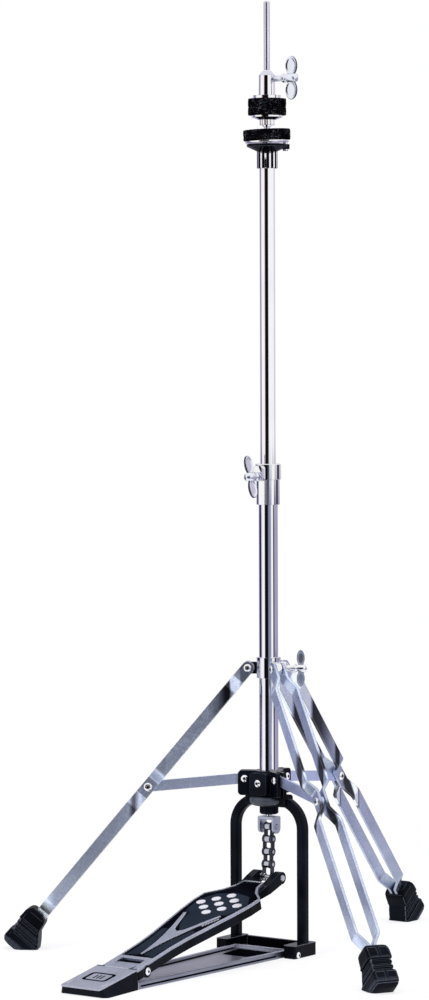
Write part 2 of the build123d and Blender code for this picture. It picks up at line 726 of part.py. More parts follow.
# ---- base casting and hoop ----------------------------------------------------------------------
def make_casting():
    slot_half = STRUT_THICKNESS / 2 + MOVING_GAP
    ear_half = slot_half + 3.4
    ear_end = 31.0
    socket_x = 24.0
    arms = [hoop_arm(side) for side in SIDES]
    with BuildPart() as casting:
        with BuildSketch(Plane.XY.offset(CASTING_BOTTOM)):
            Circle(14.5)
        extrude(amount=CASTING_TOP - CASTING_BOTTOM)
        for angle in LEG_ANGLES.values():
            with BuildSketch(upright(angle)):
                with Locations((ear_end / 2, (EAR_BOTTOM + CASTING_TOP) / 2)):
                    RectangleRounded(ear_end, CASTING_TOP - EAR_BOTTOM, radius=4)
            extrude(amount=ear_half, both=True)
        with BuildSketch(spoke(-90, (EAR_BOTTOM + CASTING_TOP) / 2)):
            RectangleRounded(20, CASTING_TOP - EAR_BOTTOM - 3, radius=3)
        extrude(amount=CLAMP_SCREW_END)
        with BuildSketch(Plane.YZ.offset(-socket_x)):
            with Locations((0, (CASTING_BOTTOM - 1 + CROSSBAR_TOP) / 2)):
                RectangleRounded(15, CROSSBAR_TOP - CASTING_BOTTOM + 1, radius=3.5)
        extrude(amount=2 * socket_x)
        with BuildSketch(Plane.XY.offset(CASTING_BOTTOM - 4)):
            Circle(LOWER_TUBE_R)
        extrude(amount=CASTING_TOP, mode=Mode.SUBTRACT)
        for angle in LEG_ANGLES.values():
            with BuildSketch(Plane.XY.offset(CASTING_BOTTOM - 4)):
                turn = math.radians(angle)
                spot = (26 * math.cos(turn), 26 * math.sin(turn))
                with Locations(Location((*spot, 0), (0, 0, angle))):
                    Rectangle(16, 2 * slot_half)
            extrude(amount=CASTING_TOP, mode=Mode.SUBTRACT)
            with BuildSketch(upright(angle)):
                with Locations((STRUT_PIVOT_RADIUS, STRUT_PIVOT_Z)):
                    Circle(LEG_PIN_R)
            extrude(amount=ear_half, both=True, mode=Mode.SUBTRACT)
        with BuildSketch(spoke(-90, CLAMP_SCREW_Z, LOWER_TUBE_R)):
            Circle(LEG_PIN_R)
        extrude(amount=CLAMP_SCREW_END, mode=Mode.SUBTRACT)
        add(arms, mode=Mode.SUBTRACT)
    finish(casting, "base_casting")
    spot = (STRUT_PIVOT_RADIUS, STRUT_PIVOT_Z)
    pivots = [
        headed_pin(upright(angle), spot, LEG_PIN_R, ear_half, 3.8, 2.2)
        for angle in LEG_ANGLES.values()
    ]
    with BuildPart() as screws:
        add(pivots)
        with BuildSketch(spoke(-90, CLAMP_SCREW_Z, LOWER_TUBE_R)):
            Circle(LEG_PIN_R)
        extrude(amount=CLAMP_SCREW_END - LOWER_TUBE_R)
        with BuildSketch(spoke(-90, CLAMP_SCREW_Z, CLAMP_SCREW_END)):
            Circle(3.8)
        extrude(amount=2.2, taper=25)
    finish(screws, "casting_screws")


def hoop_arm(side):
    """One bent arm of the hoop, from its socket in the casting down to the base channel."""
    with BuildPart() as arm:
        with BuildLine(Plane.XZ) as path:
            FilletPolyline(
                (side * HOOP_START, HOOP_TOP),
                (side * HOOP_HALF_WIDTH, HOOP_TOP),
                (side * HOOP_HALF_WIDTH, BLOCK_TOP),
                radius=HOOP_BEND,
            )
        with BuildSketch(Plane(origin=(side * HOOP_START, 0, HOOP_TOP), z_dir=(side, 0, 0))):
            RectangleRounded(HOOP_BAR, HOOP_BAR, radius=2.8)
        sweep(path=path.wires()[0])
    return arm.part


def make_hoop():
    arms = [hoop_arm(side) for side in SIDES]
    with BuildPart() as hoop:
        add(arms)
    finish(hoop, "hoop")


# ---- base channel, base plate and heel ----------------------------------------------------------
def make_base_channel():
    block_width = BLOCK_OUTER - BLOCK_INNER
    block_length = BLOCK_BACK - BLOCK_FRONT
    with BuildPart() as channel:
        with BuildSketch():
            for side in SIDES:
                with Locations((side * (BLOCK_INNER + BLOCK_OUTER) / 2, (BLOCK_FRONT + BLOCK_BACK) / 2)):
                    Rectangle(block_width, block_length)
        extrude(amount=BLOCK_TOP)
        fillet(channel.edges().filter_by(Axis.Z), radius=2.0)
        with BuildSketch():
            with Locations((0, (CHANNEL_FRONT + BLOCK_BACK) / 2)):
                Rectangle(2 * BLOCK_INNER + 4, BLOCK_BACK - CHANNEL_FRONT)
        extrude(amount=CHANNEL_FLOOR)
        with BuildSketch():
            with Locations((0, BLOCK_BACK - 1.5)):
                Rectangle(2 * BLOCK_INNER + 4, 3)
        extrude(amount=BLOCK_TOP - 1)
        with BuildSketch(Plane.YZ):
            with Locations((PLATE_PIN_Y, PLATE_PIN_Z)):
                Circle(LEG_PIN_R)
        extrude(amount=BLOCK_OUTER, both=True, mode=Mode.SUBTRACT)
    finish(channel, "base_channel")
    with BuildPart() as pins:
        for side in SIDES:
            with BuildSketch(Plane.YZ.offset(side * PLATE_PIN_START)):
                with Locations((PLATE_PIN_Y, PLATE_PIN_Z)):
                    Circle(LEG_PIN_R)
            extrude(amount=side * (BLOCK_OUTER - PLATE_PIN_START))
            with BuildSketch(Plane.YZ.offset(side * BLOCK_OUTER)):
                with Locations((PLATE_PIN_Y, PLATE_PIN_Z)):
                    Circle(3.2)
            extrude(amount=side * 1.8, taper=25)
    finish(pins, "base_plate_pins")


def plate_outline(inset):
    """The base plate's tapered outline, drawn in by an inset."""
    toe = PLATE_TOE_Y - inset
    heel = PLATE_HEEL_Y + inset
    with BuildSketch() as outline:
        with BuildLine():
            Polyline(
                (PLATE_TOE_HALF - inset, toe),
                (PLATE_HEEL_HALF - inset, heel),
                (-PLATE_HEEL_HALF + inset, heel),
                (-PLATE_TOE_HALF + inset, toe),
                close=True,
            )
        make_face()
    return outline.sketch


def make_base_plate():
    outer = plate_outline(0)
    recess = plate_outline(5.5)
    hollow = plate_outline(PLATE_SHEET)
    with BuildPart() as plate:
        with BuildSketch():
            add(outer)
        extrude(amount=PLATE_TOP)
        fillet(plate.faces().sort_by(Axis.Z)[-1].edges(), radius=1.2)
        with BuildSketch(Plane.XY.offset(PLATE_RECESS)):
            add(recess)
        extrude(amount=PLATE_TOP, taper=-30, mode=Mode.SUBTRACT)
        with BuildSketch():
            add(hollow)
        extrude(amount=PLATE_RECESS - PLATE_SHEET, mode=Mode.SUBTRACT)
        for side in SIDES:
            with BuildSketch(Plane.YZ.offset(side * PLATE_PIN_START)):
                with Locations((PLATE_PIN_Y, PLATE_PIN_Z)):
                    Circle(LEG_PIN_R)
            extrude(amount=side * (BLOCK_INNER - PLATE_PIN_START), mode=Mode.SUBTRACT)
    finish(plate, "base_plate")


def heel_outline(front_half, back_half, length, corner):
    """The heel's outline with rounded back corners, running back from its front edge."""
    with BuildSketch() as outline:
        with BuildLine():
            FilletPolyline(
                (front_half, 0),
                (back_half, -length),
                (-back_half, -length),
                (-front_half, 0),
                radius=corner,
            )
            Line((-front_half, 0), (front_half, 0))
        make_face()
    return outline.sketch


def make_heel():
    length = HEEL_FRONT_Y - HEEL_BACK_Y
    slope = math.atan2(HEEL_FRONT_Z - HEEL_BACK_Z, length)
    sloped_length = length / math.cos(slope)
    foot_length = length - HEEL_UNDERCUT
    normal = (0, -math.sin(slope), math.cos(slope))
    joint_z = HEEL_FRONT_Z - HEEL_PLATE_THICKNESS / math.cos(slope)
    joint = Plane(origin=(0, HEEL_FRONT_Y, joint_z), x_dir=(1, 0, 0), z_dir=normal)
    floor = Plane(origin=(0, HEEL_FRONT_Y, 0))
    foot_sketch = heel_outline(*HEEL_FOOT_HALF, foot_length, 6.0)
    shoulder_sketch = heel_outline(HEEL_TOP_HALF - 0.6, HEEL_TOP_HALF - 0.6, sloped_length - 0.6, 3.0)
    plate_sketch = heel_outline(HEEL_TOP_HALF, HEEL_TOP_HALF, sloped_length, 3.0)
    hollow_sketch = heel_outline(HEEL_FOOT_HALF[0] - 5, HEEL_FOOT_HALF[1] - 5, foot_length - 5, 4.0)
    with BuildPart() as base:
        with BuildSketch(floor):
            add(foot_sketch)
        with BuildSketch(joint):
            add(shoulder_sketch)
        loft()
        with BuildSketch(floor):
            with Locations((0, -5)):
                add(hollow_sketch)
        extrude(amount=3.5, mode=Mode.SUBTRACT)
    finish(base, "heel_base")
    with BuildPart() as plate:
        with BuildSketch(joint):
            add(plate_sketch)
        extrude(amount=HEEL_PLATE_THICKNESS)
        with BuildSketch(Plane.YZ):
            with BuildLine():
                Polyline(
                    (HEEL_FRONT_Y - 1, HEEL_FRONT_Z + 0.15),
                    (HINGE_Y - 2, HINGE_Z + 6.6),
                    (HINGE_Y + 1, HINGE_Z + 6.4),
                    (HINGE_Y + 1, HINGE_Z - 6.0),
                    (HINGE_Y - 4, HINGE_Z - 6.0),
                    (HEEL_FRONT_Y + 0.5, HINGE_Z - 4.0),
                    (HEEL_FRONT_Y + 0.5, HEEL_FRONT_Z - HEEL_PLATE_THICKNESS),
                    (HEEL_FRONT_Y - 1, HEEL_FRONT_Z - HEEL_PLATE_THICKNESS + 0.2),
                    close=True,
                )
            make_face()
            with Locations((HINGE_Y, HINGE_Z)):
                Circle(6.4)
                Circle(HINGE_PIN_R, mode=Mode.SUBTRACT)
        extrude(amount=TONGUE_HALF, both=True)
    finish(plate, "heel_plate")
    hinge = headed_pin(
        Plane.YZ, (HINGE_Y, HINGE_Z), HINGE_PIN_R, KNUCKLE_HALF + MOVING_GAP, 4.0, 1.6
    )
    with BuildPart() as pin:
        add(hinge)
    finish(pin, "heel_hinge_pin")


# ---- footboard ----------------------------------------------------------------------------------
def board_outline(inset):
    """The footboard's outline, drawn in by an inset."""
    half = (
        (KNUCKLE_HALF, KNUCKLE_BACK),
        (KNUCKLE_HALF - 0.7, DECK_START),
        (20.8, 42.0),
        (22.8, 68.0),
        (27.4, 99.0),
        (32.2, 131.0),
        (34.8, 156.0),
        (34.6, 174.0),
        (21.2, 187.5),
        (14.4, 200.0),
        (12.3, 213.4),
    )
    mirrored = [(-x, y) for x, y in reversed(half)]
    with BuildSketch() as outline:
        with BuildLine():
            FilletPolyline(*half, *mirrored, radius=2.5, close=True)
        make_face()
        if inset:
            offset(amount=-inset, kind=Kind.ARC, mode=Mode.REPLACE)
    return outline.sketch


def make_footboard():
    fork_profile = (
        (184.0, BOARD_BOTTOM),
        (184.0, DECK_BOTTOM + 0.5),
        (212.0, DECK_TOP - 0.3),
        (224.0, 7.6),
        (TOE_PIN_ALONG - 2, TOE_PIN_UP + 6.2),
        (TOE_PIN_ALONG - 3, TOE_PIN_UP - 6.0),
        (214.0, BOARD_BOTTOM - 1.5),
    )
    side_view = Plane(origin=BOARD.origin, x_dir=BOARD.y_dir, z_dir=BOARD.x_dir)
    outer = board_outline(0)
    inner = board_outline(SKIRT_THICKNESS)
    with BuildPart() as board:
        with BuildSketch(BOARD.offset(BOARD_BOTTOM)):
            add(outer)
        extrude(amount=DECK_TOP - BOARD_BOTTOM)
        with BuildSketch(BOARD.offset(BOARD_BOTTOM)):
            add(inner)
        extrude(amount=DECK_BOTTOM - BOARD_BOTTOM, mode=Mode.SUBTRACT)
        with BuildSketch(BOARD.offset(BOARD_BOTTOM + 1)):
            with Locations((0, (KNUCKLE_BACK + DECK_START) / 2)):
                Rectangle(2 * KNUCKLE_HALF - 2, DECK_START - KNUCKLE_BACK)
        extrude(amount=DECK_TOP - BOARD_BOTTOM - 1)
        with BuildSketch(side_view):
            Circle(KNUCKLE_R)
        extrude(amount=KNUCKLE_HALF, both=True)
        for side in SIDES:
            with BuildSketch(side_view.offset(side * FORK_INNER)):
                with BuildLine():
                    Polyline(*fork_profile, close=True)
                make_face()
                with Locations((TOE_PIN_ALONG, TOE_PIN_UP)):
                    Circle(6.2)
            extrude(amount=side * (FORK_OUTER - FORK_INNER))
        with BuildSketch(BOARD.offset(-12)):
            with Locations((0, CROSSBAR_ALONG - 20)):
                Rectangle(2 * (TONGUE_HALF + MOVING_GAP), 40)
        extrude(amount=30, mode=Mode.SUBTRACT)
        with BuildSketch(BOARD.offset(-20)):
            with Locations((0, KNUCKLE_BACK - 10)):
                Rectangle(60, 20)
        extrude(amount=40, mode=Mode.SUBTRACT)
        with BuildSketch(side_view):
            Circle(HINGE_PIN_R + RUNNING_FIT)
            with Locations((TOE_PIN_ALONG, TOE_PIN_UP)):
                Circle(TOE_PIN_R)
        extrude(amount=40, both=True, mode=Mode.SUBTRACT)
    finish(board, "footboard")


def make_footboard_trim():
    tongue_slot = 2 * (TONGUE_HALF + MOVING_GAP)
    side_view = Plane(origin=BOARD.origin, x_dir=BOARD.y_dir, z_dir=BOARD.x_dir)
    outer = board_outline(0)
    inner = board_outline(TRIM_WIDTH)
    with BuildPart() as trim:
        with BuildSketch(BOARD.offset(DECK_TOP)):
            add(outer)
        extrude(amount=TRIM_TOP - DECK_TOP)
        with BuildSketch(BOARD.offset(DECK_TOP)):
            add(inner)
            with Locations((0, DECK_START - 50)):
                Rectangle(100, 100, mode=Mode.SUBTRACT)
        extrude(amount=TRIM_TOP - DECK_TOP, mode=Mode.SUBTRACT)
        with BuildSketch(BOARD.offset(DECK_TOP)):
            with Locations((0, CROSSBAR_ALONG - 20)):
                Rectangle(tongue_slot, 40)
        extrude(amount=TRIM_TOP, mode=Mode.SUBTRACT)
        with BuildSketch(side_view):
            Circle(KNUCKLE_R)
        extrude(amount=KNUCKLE_HALF, both=True, mode=Mode.SUBTRACT)
    finish(trim, "footboard_trim")
    with BuildPart() as inlay:
        with BuildSketch(BOARD.offset(DECK_TOP)):
            add(inner)
            with Locations((0, DECK_START - 50)):
                Rectangle(100, 100, mode=Mode.SUBTRACT)
        extrude(amount=INLAY_TOP - DECK_TOP)
    finish(inlay, "footboard_inlay")


def make_footboard_ridge():
    """A wishbone ridge: a stem from the heel that forks round the studs."""
    half = (
        (0.9, 21.0),
        (2.4, 37.0),
        (4.2, 51.0),
        (6.7, 64.0),
        (9.6, 76.0),
        (13.0, 90.0),
        (17.8, 106.0),
        (22.8, 123.0),
        (20.2, 124.5),
        (13.6, 107.0),
        (9.4, 94.0),
        (5.2, 84.0),
    )
    mirrored = [(-x, y) for x, y in reversed(half)]
    with BuildPart() as ridge:
        with BuildSketch(BOARD.offset(INLAY_TOP)):
            with BuildLine():
                Polyline(*half, (0, 79.5), *mirrored, close=True)
            make_face()
        extrude(amount=TRIM_TOP - INLAY_TOP)
    finish(ridge, "footboard_ridge")
    diagonal = STUD_SPACING / math.sqrt(2)
    with BuildPart() as studs:
        with BuildSketch(BOARD.offset(INLAY_TOP)):
            with Locations(Location((0, STUD_CENTRE_ALONG, 0), (0, 0, 45))):
                with GridLocations(diagonal, diagonal, 3, 3):
                    Circle(4.9)
        extrude(amount=1.6)
        crowns = studs.faces().filter_by(BOARD).group_by(Axis(BOARD.origin, BOARD.z_dir))[-1]
        fillet(crowns.edges(), radius=0.6)
    finish(studs, "footboard_studs")


def make_toe_pin():
    side_view = Plane(origin=BOARD.origin, x_dir=BOARD.y_dir, z_dir=BOARD.x_dir)
    spot = (TOE_PIN_ALONG, TOE_PIN_UP)
    bolt = headed_pin(side_view, spot, TOE_PIN_R, FORK_OUTER, 3.4, 1.2)
    with BuildPart() as pin:
        add(bolt)
        for side in SIDES:
            with BuildSketch(side_view.offset(side * (CHAIN_PIN_END + 0.6))):
                with Locations(spot):
                    Circle(TOE_PIN_R + 1.6)
            extrude(amount=side * (FORK_INNER - CHAIN_PIN_END - 0.6))
    finish(pin, "toe_pin")


# ---- clevis and chain ---------------------------------------------------------------------------
def make_clevis():
    inside_top = CLEVIS_TOP - CLEVIS_WEB
    inner_width = 2 * (CLEVIS_HALF - CLEVIS_CHEEK)
    with BuildPart() as clevis:
        with BuildSketch(Plane.XZ):
            with Locations((0, (CLEVIS_TOP + CLEVIS_BOTTOM) / 2)):
                Rectangle(2 * CLEVIS_HALF, CLEVIS_TOP - CLEVIS_BOTTOM)
            with Locations((0, (inside_top + CLEVIS_BOTTOM) / 2)):
                Rectangle(inner_width, inside_top - CLEVIS_BOTTOM, mode=Mode.SUBTRACT)
        extrude(amount=CLEVIS_DEPTH / 2, both=True)
        fillet(clevis.edges().filter_by(Axis.X).group_by(Axis.Z)[0], radius=5.5)
        fillet(clevis.edges().filter_by(Axis.Y).group_by(Axis.Z)[-1], radius=1.5)
        with BuildSketch(Plane.XY.offset(CLEVIS_TOP)):
            Circle(ROD_R)
        extrude(amount=-CLEVIS_WEB, mode=Mode.SUBTRACT)
        with BuildSketch(Plane.YZ):
            with Locations((0, CLEVIS_PIN_Z)):
                Circle(TOE_PIN_R)
        extrude(amount=20, both=True, mode=Mode.SUBTRACT)
    finish(clevis, "clevis")
    bolt = headed_pin(Plane.YZ, (0, CLEVIS_PIN_Z), TOE_PIN_R, CLEVIS_HALF, 3.2, 1.0)
    with BuildPart() as pin:
        add(bolt)
    finish(pin, "clevis_pin")


def chain_plane():
    """The plane of the chain's plates: x runs down the chain from the clevis pin."""
    down = (0, TOE_Y / CHAIN_LENGTH, (TOE_Z - CLEVIS_PIN_Z) / CHAIN_LENGTH)
    return Plane(origin=(0, 0, CLEVIS_PIN_Z), x_dir=down, z_dir=(1, 0, 0))


def make_plates(name, first_link, span, top_bore, bottom_bore):
    """The two side plates of every second link, starting with one link."""
    plane = chain_plane()
    with BuildPart() as plates:
        for link in range(first_link, CHAIN_LINKS, 2):
            start = link * CHAIN_PITCH
            last = link == CHAIN_LINKS - 1
            bores = (top_bore, TOE_PIN_R + TOE_PIN_PLAY if last else bottom_bore)
            for side in SIDES:
                with BuildSketch(plane.offset(side * span[0])):
                    for step, bore in enumerate(bores):
                        with Locations((start + step * CHAIN_PITCH, 0)):
                            Circle(CHAIN_PLATE_R)
                    with Locations((start + CHAIN_PITCH / 2, 0)):
                        Rectangle(CHAIN_PITCH, CHAIN_WAIST)
                    for step, bore in enumerate(bores):
                        with Locations((start + step * CHAIN_PITCH, 0)):
                            Circle(bore, mode=Mode.SUBTRACT)
                extrude(amount=side * (span[1] - span[0]))
    finish(plates, name)


def make_chain():
    plane = chain_plane()
    clearance = TOE_PIN_R + RUNNING_FIT
    make_plates("chain_inner_plates", 0, INNER_PLATE, clearance, clearance)
    make_plates("chain_outer_plates", 1, OUTER_PLATE, CHAIN_PIN_R, CHAIN_PIN_R)
    with BuildPart() as rollers:
        for station in range(CHAIN_LINKS):
            with BuildSketch(plane):
                with Locations((station * CHAIN_PITCH, 0)):
                    Circle(3.9)
                    Circle(clearance, mode=Mode.SUBTRACT)
            extrude(amount=INNER_PLATE[0], both=True)
    finish(rollers, "chain_rollers")
    with BuildPart() as pins:
        for station in range(1, CHAIN_LINKS):
            with BuildSketch(plane):
                with Locations((station * CHAIN_PITCH, 0)):
                    Circle(CHAIN_PIN_R)
            extrude(amount=CHAIN_PIN_END, both=True)
    finish(pins, "chain_pins")


def main():
    make_lower_tube()
    make_end_cap()
    make_spring()
    make_upper_tube()
    make_pull_rod()
    make_height_clamp()
    make_wing_bolt(
        "height_wing_bolt", -90, CLAMP_BOLT_Z, 8.3, (21.0, 37.5), (24.0, 36.0), 43.0, CLAMP_WING_LEAN
    )
    make_wing_bolt("hub_wing_bolt", HUB_BOLT_ANGLE, HUB_BOLT_Z, 9.9, (25.6, 38.6), (28.3, 36.3), 37.0)
    make_wing_bolt("clutch_wing_bolt", 0, CLUTCH_BOLT_Z, 3.5, (19.5, 37.0), (23.0, 36.4), 43.0)
    make_seat()
    make_clutch()
    make_leg_hub()
    for name, angle in LEG_ANGLES.items():
        make_leg_straps(name, angle)
        make_foot(name, angle)
        make_strut(name, angle)
    make_casting()
    make_hoop()
    make_base_channel()
    make_base_plate()
    make_heel()
    make_footboard()
    make_footboard_trim()
    make_footboard_ridge()
    make_toe_pin()
    make_clevis()
    make_chain()


main()
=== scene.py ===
import json
import math

import bmesh
import bpy
from mathutils import Matrix, Vector, noise


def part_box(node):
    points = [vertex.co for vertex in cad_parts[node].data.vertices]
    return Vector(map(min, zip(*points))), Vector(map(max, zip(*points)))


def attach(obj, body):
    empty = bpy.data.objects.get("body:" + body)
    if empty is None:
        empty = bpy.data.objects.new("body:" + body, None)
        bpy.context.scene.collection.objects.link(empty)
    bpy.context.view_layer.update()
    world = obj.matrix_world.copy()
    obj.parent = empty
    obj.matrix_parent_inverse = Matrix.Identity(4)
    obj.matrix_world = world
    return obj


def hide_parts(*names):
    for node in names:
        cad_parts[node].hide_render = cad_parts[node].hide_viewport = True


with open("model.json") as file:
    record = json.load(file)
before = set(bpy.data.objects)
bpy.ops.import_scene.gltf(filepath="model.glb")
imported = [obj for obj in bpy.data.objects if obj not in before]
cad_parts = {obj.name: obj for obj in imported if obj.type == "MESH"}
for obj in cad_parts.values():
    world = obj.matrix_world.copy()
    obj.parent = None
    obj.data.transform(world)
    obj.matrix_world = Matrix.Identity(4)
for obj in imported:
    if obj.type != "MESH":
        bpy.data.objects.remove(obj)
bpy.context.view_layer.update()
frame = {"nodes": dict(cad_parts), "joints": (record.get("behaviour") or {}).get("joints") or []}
NODES = frame["nodes"]
JOINTS = {joint["name"]: joint for joint in frame["joints"]}
LEGS = ("left", "right", "rear")
X_AXIS, Y_AXIS, Z_AXIS = Vector((1, 0, 0)), Vector((0, 1, 0)), Vector((0, 0, 1))
MM = 0.001

# ---- sizes taken over from the CAD part, in millimetres and degrees ---------------------------------
LEG_SLOPE, LEG_PIVOT_RADIUS = 50.1, 20.7
CLUTCH_SLEEVE_R, CLUTCH_NECK_R, CLUTCH_FELT_CORNER = 4.5, 4.4, 0.9
ROD_BORE, TUBE_BORE = 3.3, 8.0
SEAT_TILT, SEAT_TILT_ANGLE = 2.2, 30.0
SEAT_WASHER, SEAT_FELT, SEAT_FELT_R, SEAT_BORE, SEAT_FELT_CORNER = 2.0, 11.0, 23.8, 4.8, 1.2
FLUTES = 14
# one flute of the seat collar: (share of a flute's turn, share of the radius)
FLUTE = ((-0.5, 1.0), (-0.30, 1.0), (-0.22, 0.955), (-0.12, 0.925), (0.12, 0.925), (0.22, 0.955),
         (0.30, 1.0))
LAND_SHARE = 0.30

WING_SHANK_R, WING_HUB_R = 3.0, 4.6
WING_RIM, WING_WEB = 3.0, 1.3
# bolt: (body, joint, lean of the wings, shank's tip, ends of the hub, ends of the wings, span, slots)
WING_BOLTS = {
    "height_wing_bolt": ("height_wing", "height_wing_turn", 12, 8.3, (21.0, 37.5), (24.0, 36.0), 43.0,
                         ["satin", "seam", "satin"]),
    "hub_wing_bolt": ("hub_wing", "hub_wing_turn", 0, 9.9, (25.6, 38.6), (28.3, 36.3), 37.0,
                      ["chrome", "wing", "wing"]),
    "clutch_wing_bolt": ("clutch_wing", "clutch_wing_turn", 0, 3.5, (19.5, 37.0), (23.0, 36.4), 43.0,
                         ["satin", "seam", "satin"]),
}

# heads: (radius, height, radius of the socket)
LEG_PIN_HEAD, RIVET_HEAD, CASTING_HEAD = (4.0, 1.75, 1.5), (4.4, 1.85, 1.5), (3.8, 2.15, 1.5)
HINGE_HEAD, PLATE_PIN_HEAD = (4.0, 1.55, 1.5), (3.2, 1.75, 1.2)
PIN_R, HINGE_PIN_R, PIN_STUB = 2.0, 2.5, 6.0
LEG_PIN_HALF, EAR_HALF, HINGE_HALF = 6.6, 5.15, 21.85
RIVET_STATION, RIVET_FACE = 157.7, 4.8
CLAMP_SCREW_Z, CLAMP_SCREW_FACE = 171.8, 19.5
PLATE_PIN_INSET = 1.8

# the boots, by station down the leg: outer face, inner face and half width
FOOT_OUTER = ((327.0, 10.5), (329.0, 12.9), (332.0, 14.4), (336.0, 15.4), (343.0, 15.6), (356.5, 14.6),
              (358.5, 15.6), (366.0, 15.8), (369.0, 15.2), (371.4, 12.8), (372.8, 8.4))
FOOT_INNER = ((327.0, -2.0), (328.6, -3.4), (329.7, -7.0), (333.2, -8.9), (342.8, -10.4), (350.0, -16.0),
              (372.8, -30.0))
FOOT_HALF = ((327.0, 9.6), (329.0, 11.8), (332.0, 12.8), (336.0, 13.0), (342.6, 13.0), (344.0, 12.2),
             (356.0, 12.2), (358.0, 13.0), (367.0, 13.0), (370.0, 12.2), (371.6, 10.8), (372.8, 8.6))
FOOT_START, FOOT_STEP, FOOT_RINGS = 327.0, 0.4, 115
WAIST, WAIST_DEPTH, WAIST_EASE = (343.2, 356.6), 2.3, 0.45
FOOT_RIBS, RIB_HALF, RIB_RISE = (347.4, 352.4), 1.6, 1.7
FACE_PANELS, PANEL_EDGE, PANEL_RIM = ((331.5, 342.0), (358.6, 365.4)), 10.4, 3.6
TOE_GROOVES, GROOVE_HALF, GROOVE_DEPTH = (367.2, 369.4), 0.5, 0.7
BOOT_CORNER, BOOT_POINTS = 2 / 9, 44       # roundness of the section, and points to a quarter of it

BOARD_SLOPE, INLAY_TOP = 14.25, 6.3
UPPER_PAD = ((0.6, 84.5), (5.4, 91.0), (10.2, 100.0), (15.0, 112.0), (19.0, 127.5), (24.4, 127.5),
             (27.6, 138.0), (29.4, 150.0), (29.4, 160.0), (20.0, 176.5), (0.0, 183.0))
SIDE_PAD = ((2.6, 21.0), (16.0, 18.0), (16.4, 44.0), (18.4, 68.0), (20.6, 84.0), (14.8, 86.0),
            (11.0, 72.0), (8.2, 62.0), (5.8, 50.0), (4.0, 36.0))
HEEL_FRONT_Y, HEEL_FRONT_Z, HEEL_BACK_Z = -250.0, 19.5, 8.5
MARK_SINK, MARK_RISE = -0.4, 0.12

PLATE_FLOOR = 4.2
PLATE_TOE, PLATE_HEEL = (34.1, -12.0), (25.0, -250.0)
# the toe recess, filled with a black tile: painted shade
TOE_RECESS = ((15.0, -60.0), (19.0, -40.0), (20.0, -24.0))
# strips along the base plate, black painted shade at the foot of the rim, a black strip on the plate's side
# and a painted highlight on the rim's top: (insets from its edge, ends, levels, slot)
PLATE_PAINTED_LINES = (
    ((5.6, 7.8), (-24.0, -244.0), (PLATE_FLOOR - 0.3, PLATE_FLOOR + 0.9), 0),
    ((-0.25, 0.3), (-36.0, -246.0), (2.2, 4.0), 0),
    ((1.3, 3.7), (-30.0, -247.0), (6.7, 7.06), 1),
)

# a dark stripe painted up the clamp's side and stripes beside its keel: painted reflections
CLAMP_STRIPE_AZIMUTH, CLAMP_STRIPE_HALF = -4.6, 7.0
CLAMP_LEVELS = ((11.6, 450.9, 475.3), (13.0, 475.9, 490.4))     # (radius, low, high)
CLAMP_KEEL_R, CLAMP_KEEL_Z, CLAMP_KEEL_HALF = 13.4, 463.0, 12.2
CLAMP_KEEL_PAINTED_STRIPES = ((-4.1, -2.2), (-4.95, -4.1))
LIP_START, LIP_TURN, LIP_R, LIP_Z, LIP_DEPTH = -166, 148, 17.0, 153.4, 2.6

# ---- camera and light ---------------------------------------------------------------------------
VIEW_AZIMUTH = 35.403      # degrees from -Y toward +X
VIEW_DISTANCE = 3.74
EYE_HEIGHT = 0.628
AIM_HEIGHT = 0.455
AIM_ASIDE = -0.0537        # the column stands right of the picture's middle
CAMERA_ROLL = -0.204
LENS = 134.68
FLOOR_R = 0.95
SHADOW_SHARE = 0.22        # the rest of the floor's brightness is its own

RIGHT = Vector((math.cos(math.radians(VIEW_AZIMUTH)), math.sin(math.radians(VIEW_AZIMUTH)), 0))
TOWARD = Vector((RIGHT.y, -RIGHT.x, 0))      # from the column to the camera


def make_camera():
    data = bpy.data.cameras.new("camera")
    data.sensor_width = 36
    data.lens = LENS
    data.clip_start, data.clip_end = 0.05, 50
    camera = bpy.data.objects.new("camera", data)
    bpy.context.scene.collection.objects.link(camera)
    camera.location = TOWARD * VIEW_DISTANCE + Vector((0, 0, EYE_HEIGHT))
    aim = RIGHT * AIM_ASIDE + Vector((0, 0, AIM_HEIGHT))
    look = (aim - camera.location).to_track_quat("-Z", "Y")
    camera.rotation_mode = "QUATERNION"
    roll = Matrix.Rotation(math.radians(CAMERA_ROLL), 3, "Z").to_quaternion()
    camera.rotation_quaternion = look @ roll
    bpy.context.scene.camera = camera


class Tree:
    """A small helper for node trees: add() makes a node, and sets or links its inputs."""

    def __init__(self, tree):
        self.tree = tree
        tree.nodes.clear()

    def add(self, kind, inputs=(), **settings):
        node = self.tree.nodes.new(kind)
        for key, value in settings.items():
            setattr(node, key, value)
        for key, value in dict(inputs).items():
            if isinstance(value, bpy.types.NodeSocket):
                self.tree.links.new(value, node.inputs[key])
            else:
                node.inputs[key].default_value = value
        return node

    def math(self, operation, a, b=0.0):
        return self.add("ShaderNodeMath", {0: a, 1: b}, operation=operation).outputs[0]

    def ramp(self, factor, stops, mode="LINEAR"):
        node = self.add("ShaderNodeValToRGB", {"Fac": factor})
        ramp = node.color_ramp
        ramp.interpolation = mode
        while len(ramp.elements) < len(stops):
            ramp.elements.new(0.5)
        for element, (spot, colour) in zip(ramp.elements, stops):
            element.position = spot
            element.color = (*colour, 1)
        return node.outputs["Color"]

    def mix(self, factor, a, b, mode="MIX"):
        node = self.add("ShaderNodeMix", data_type="RGBA", blend_type=mode)
        for socket, value in ((node.inputs[0], factor), (node.inputs[6], a), (node.inputs[7], b)):
            if isinstance(value, bpy.types.NodeSocket):
                self.tree.links.new(value, socket)
            else:
                socket.default_value = value if isinstance(value, (int, float)) else (*value, 1)
        return node.outputs[2]


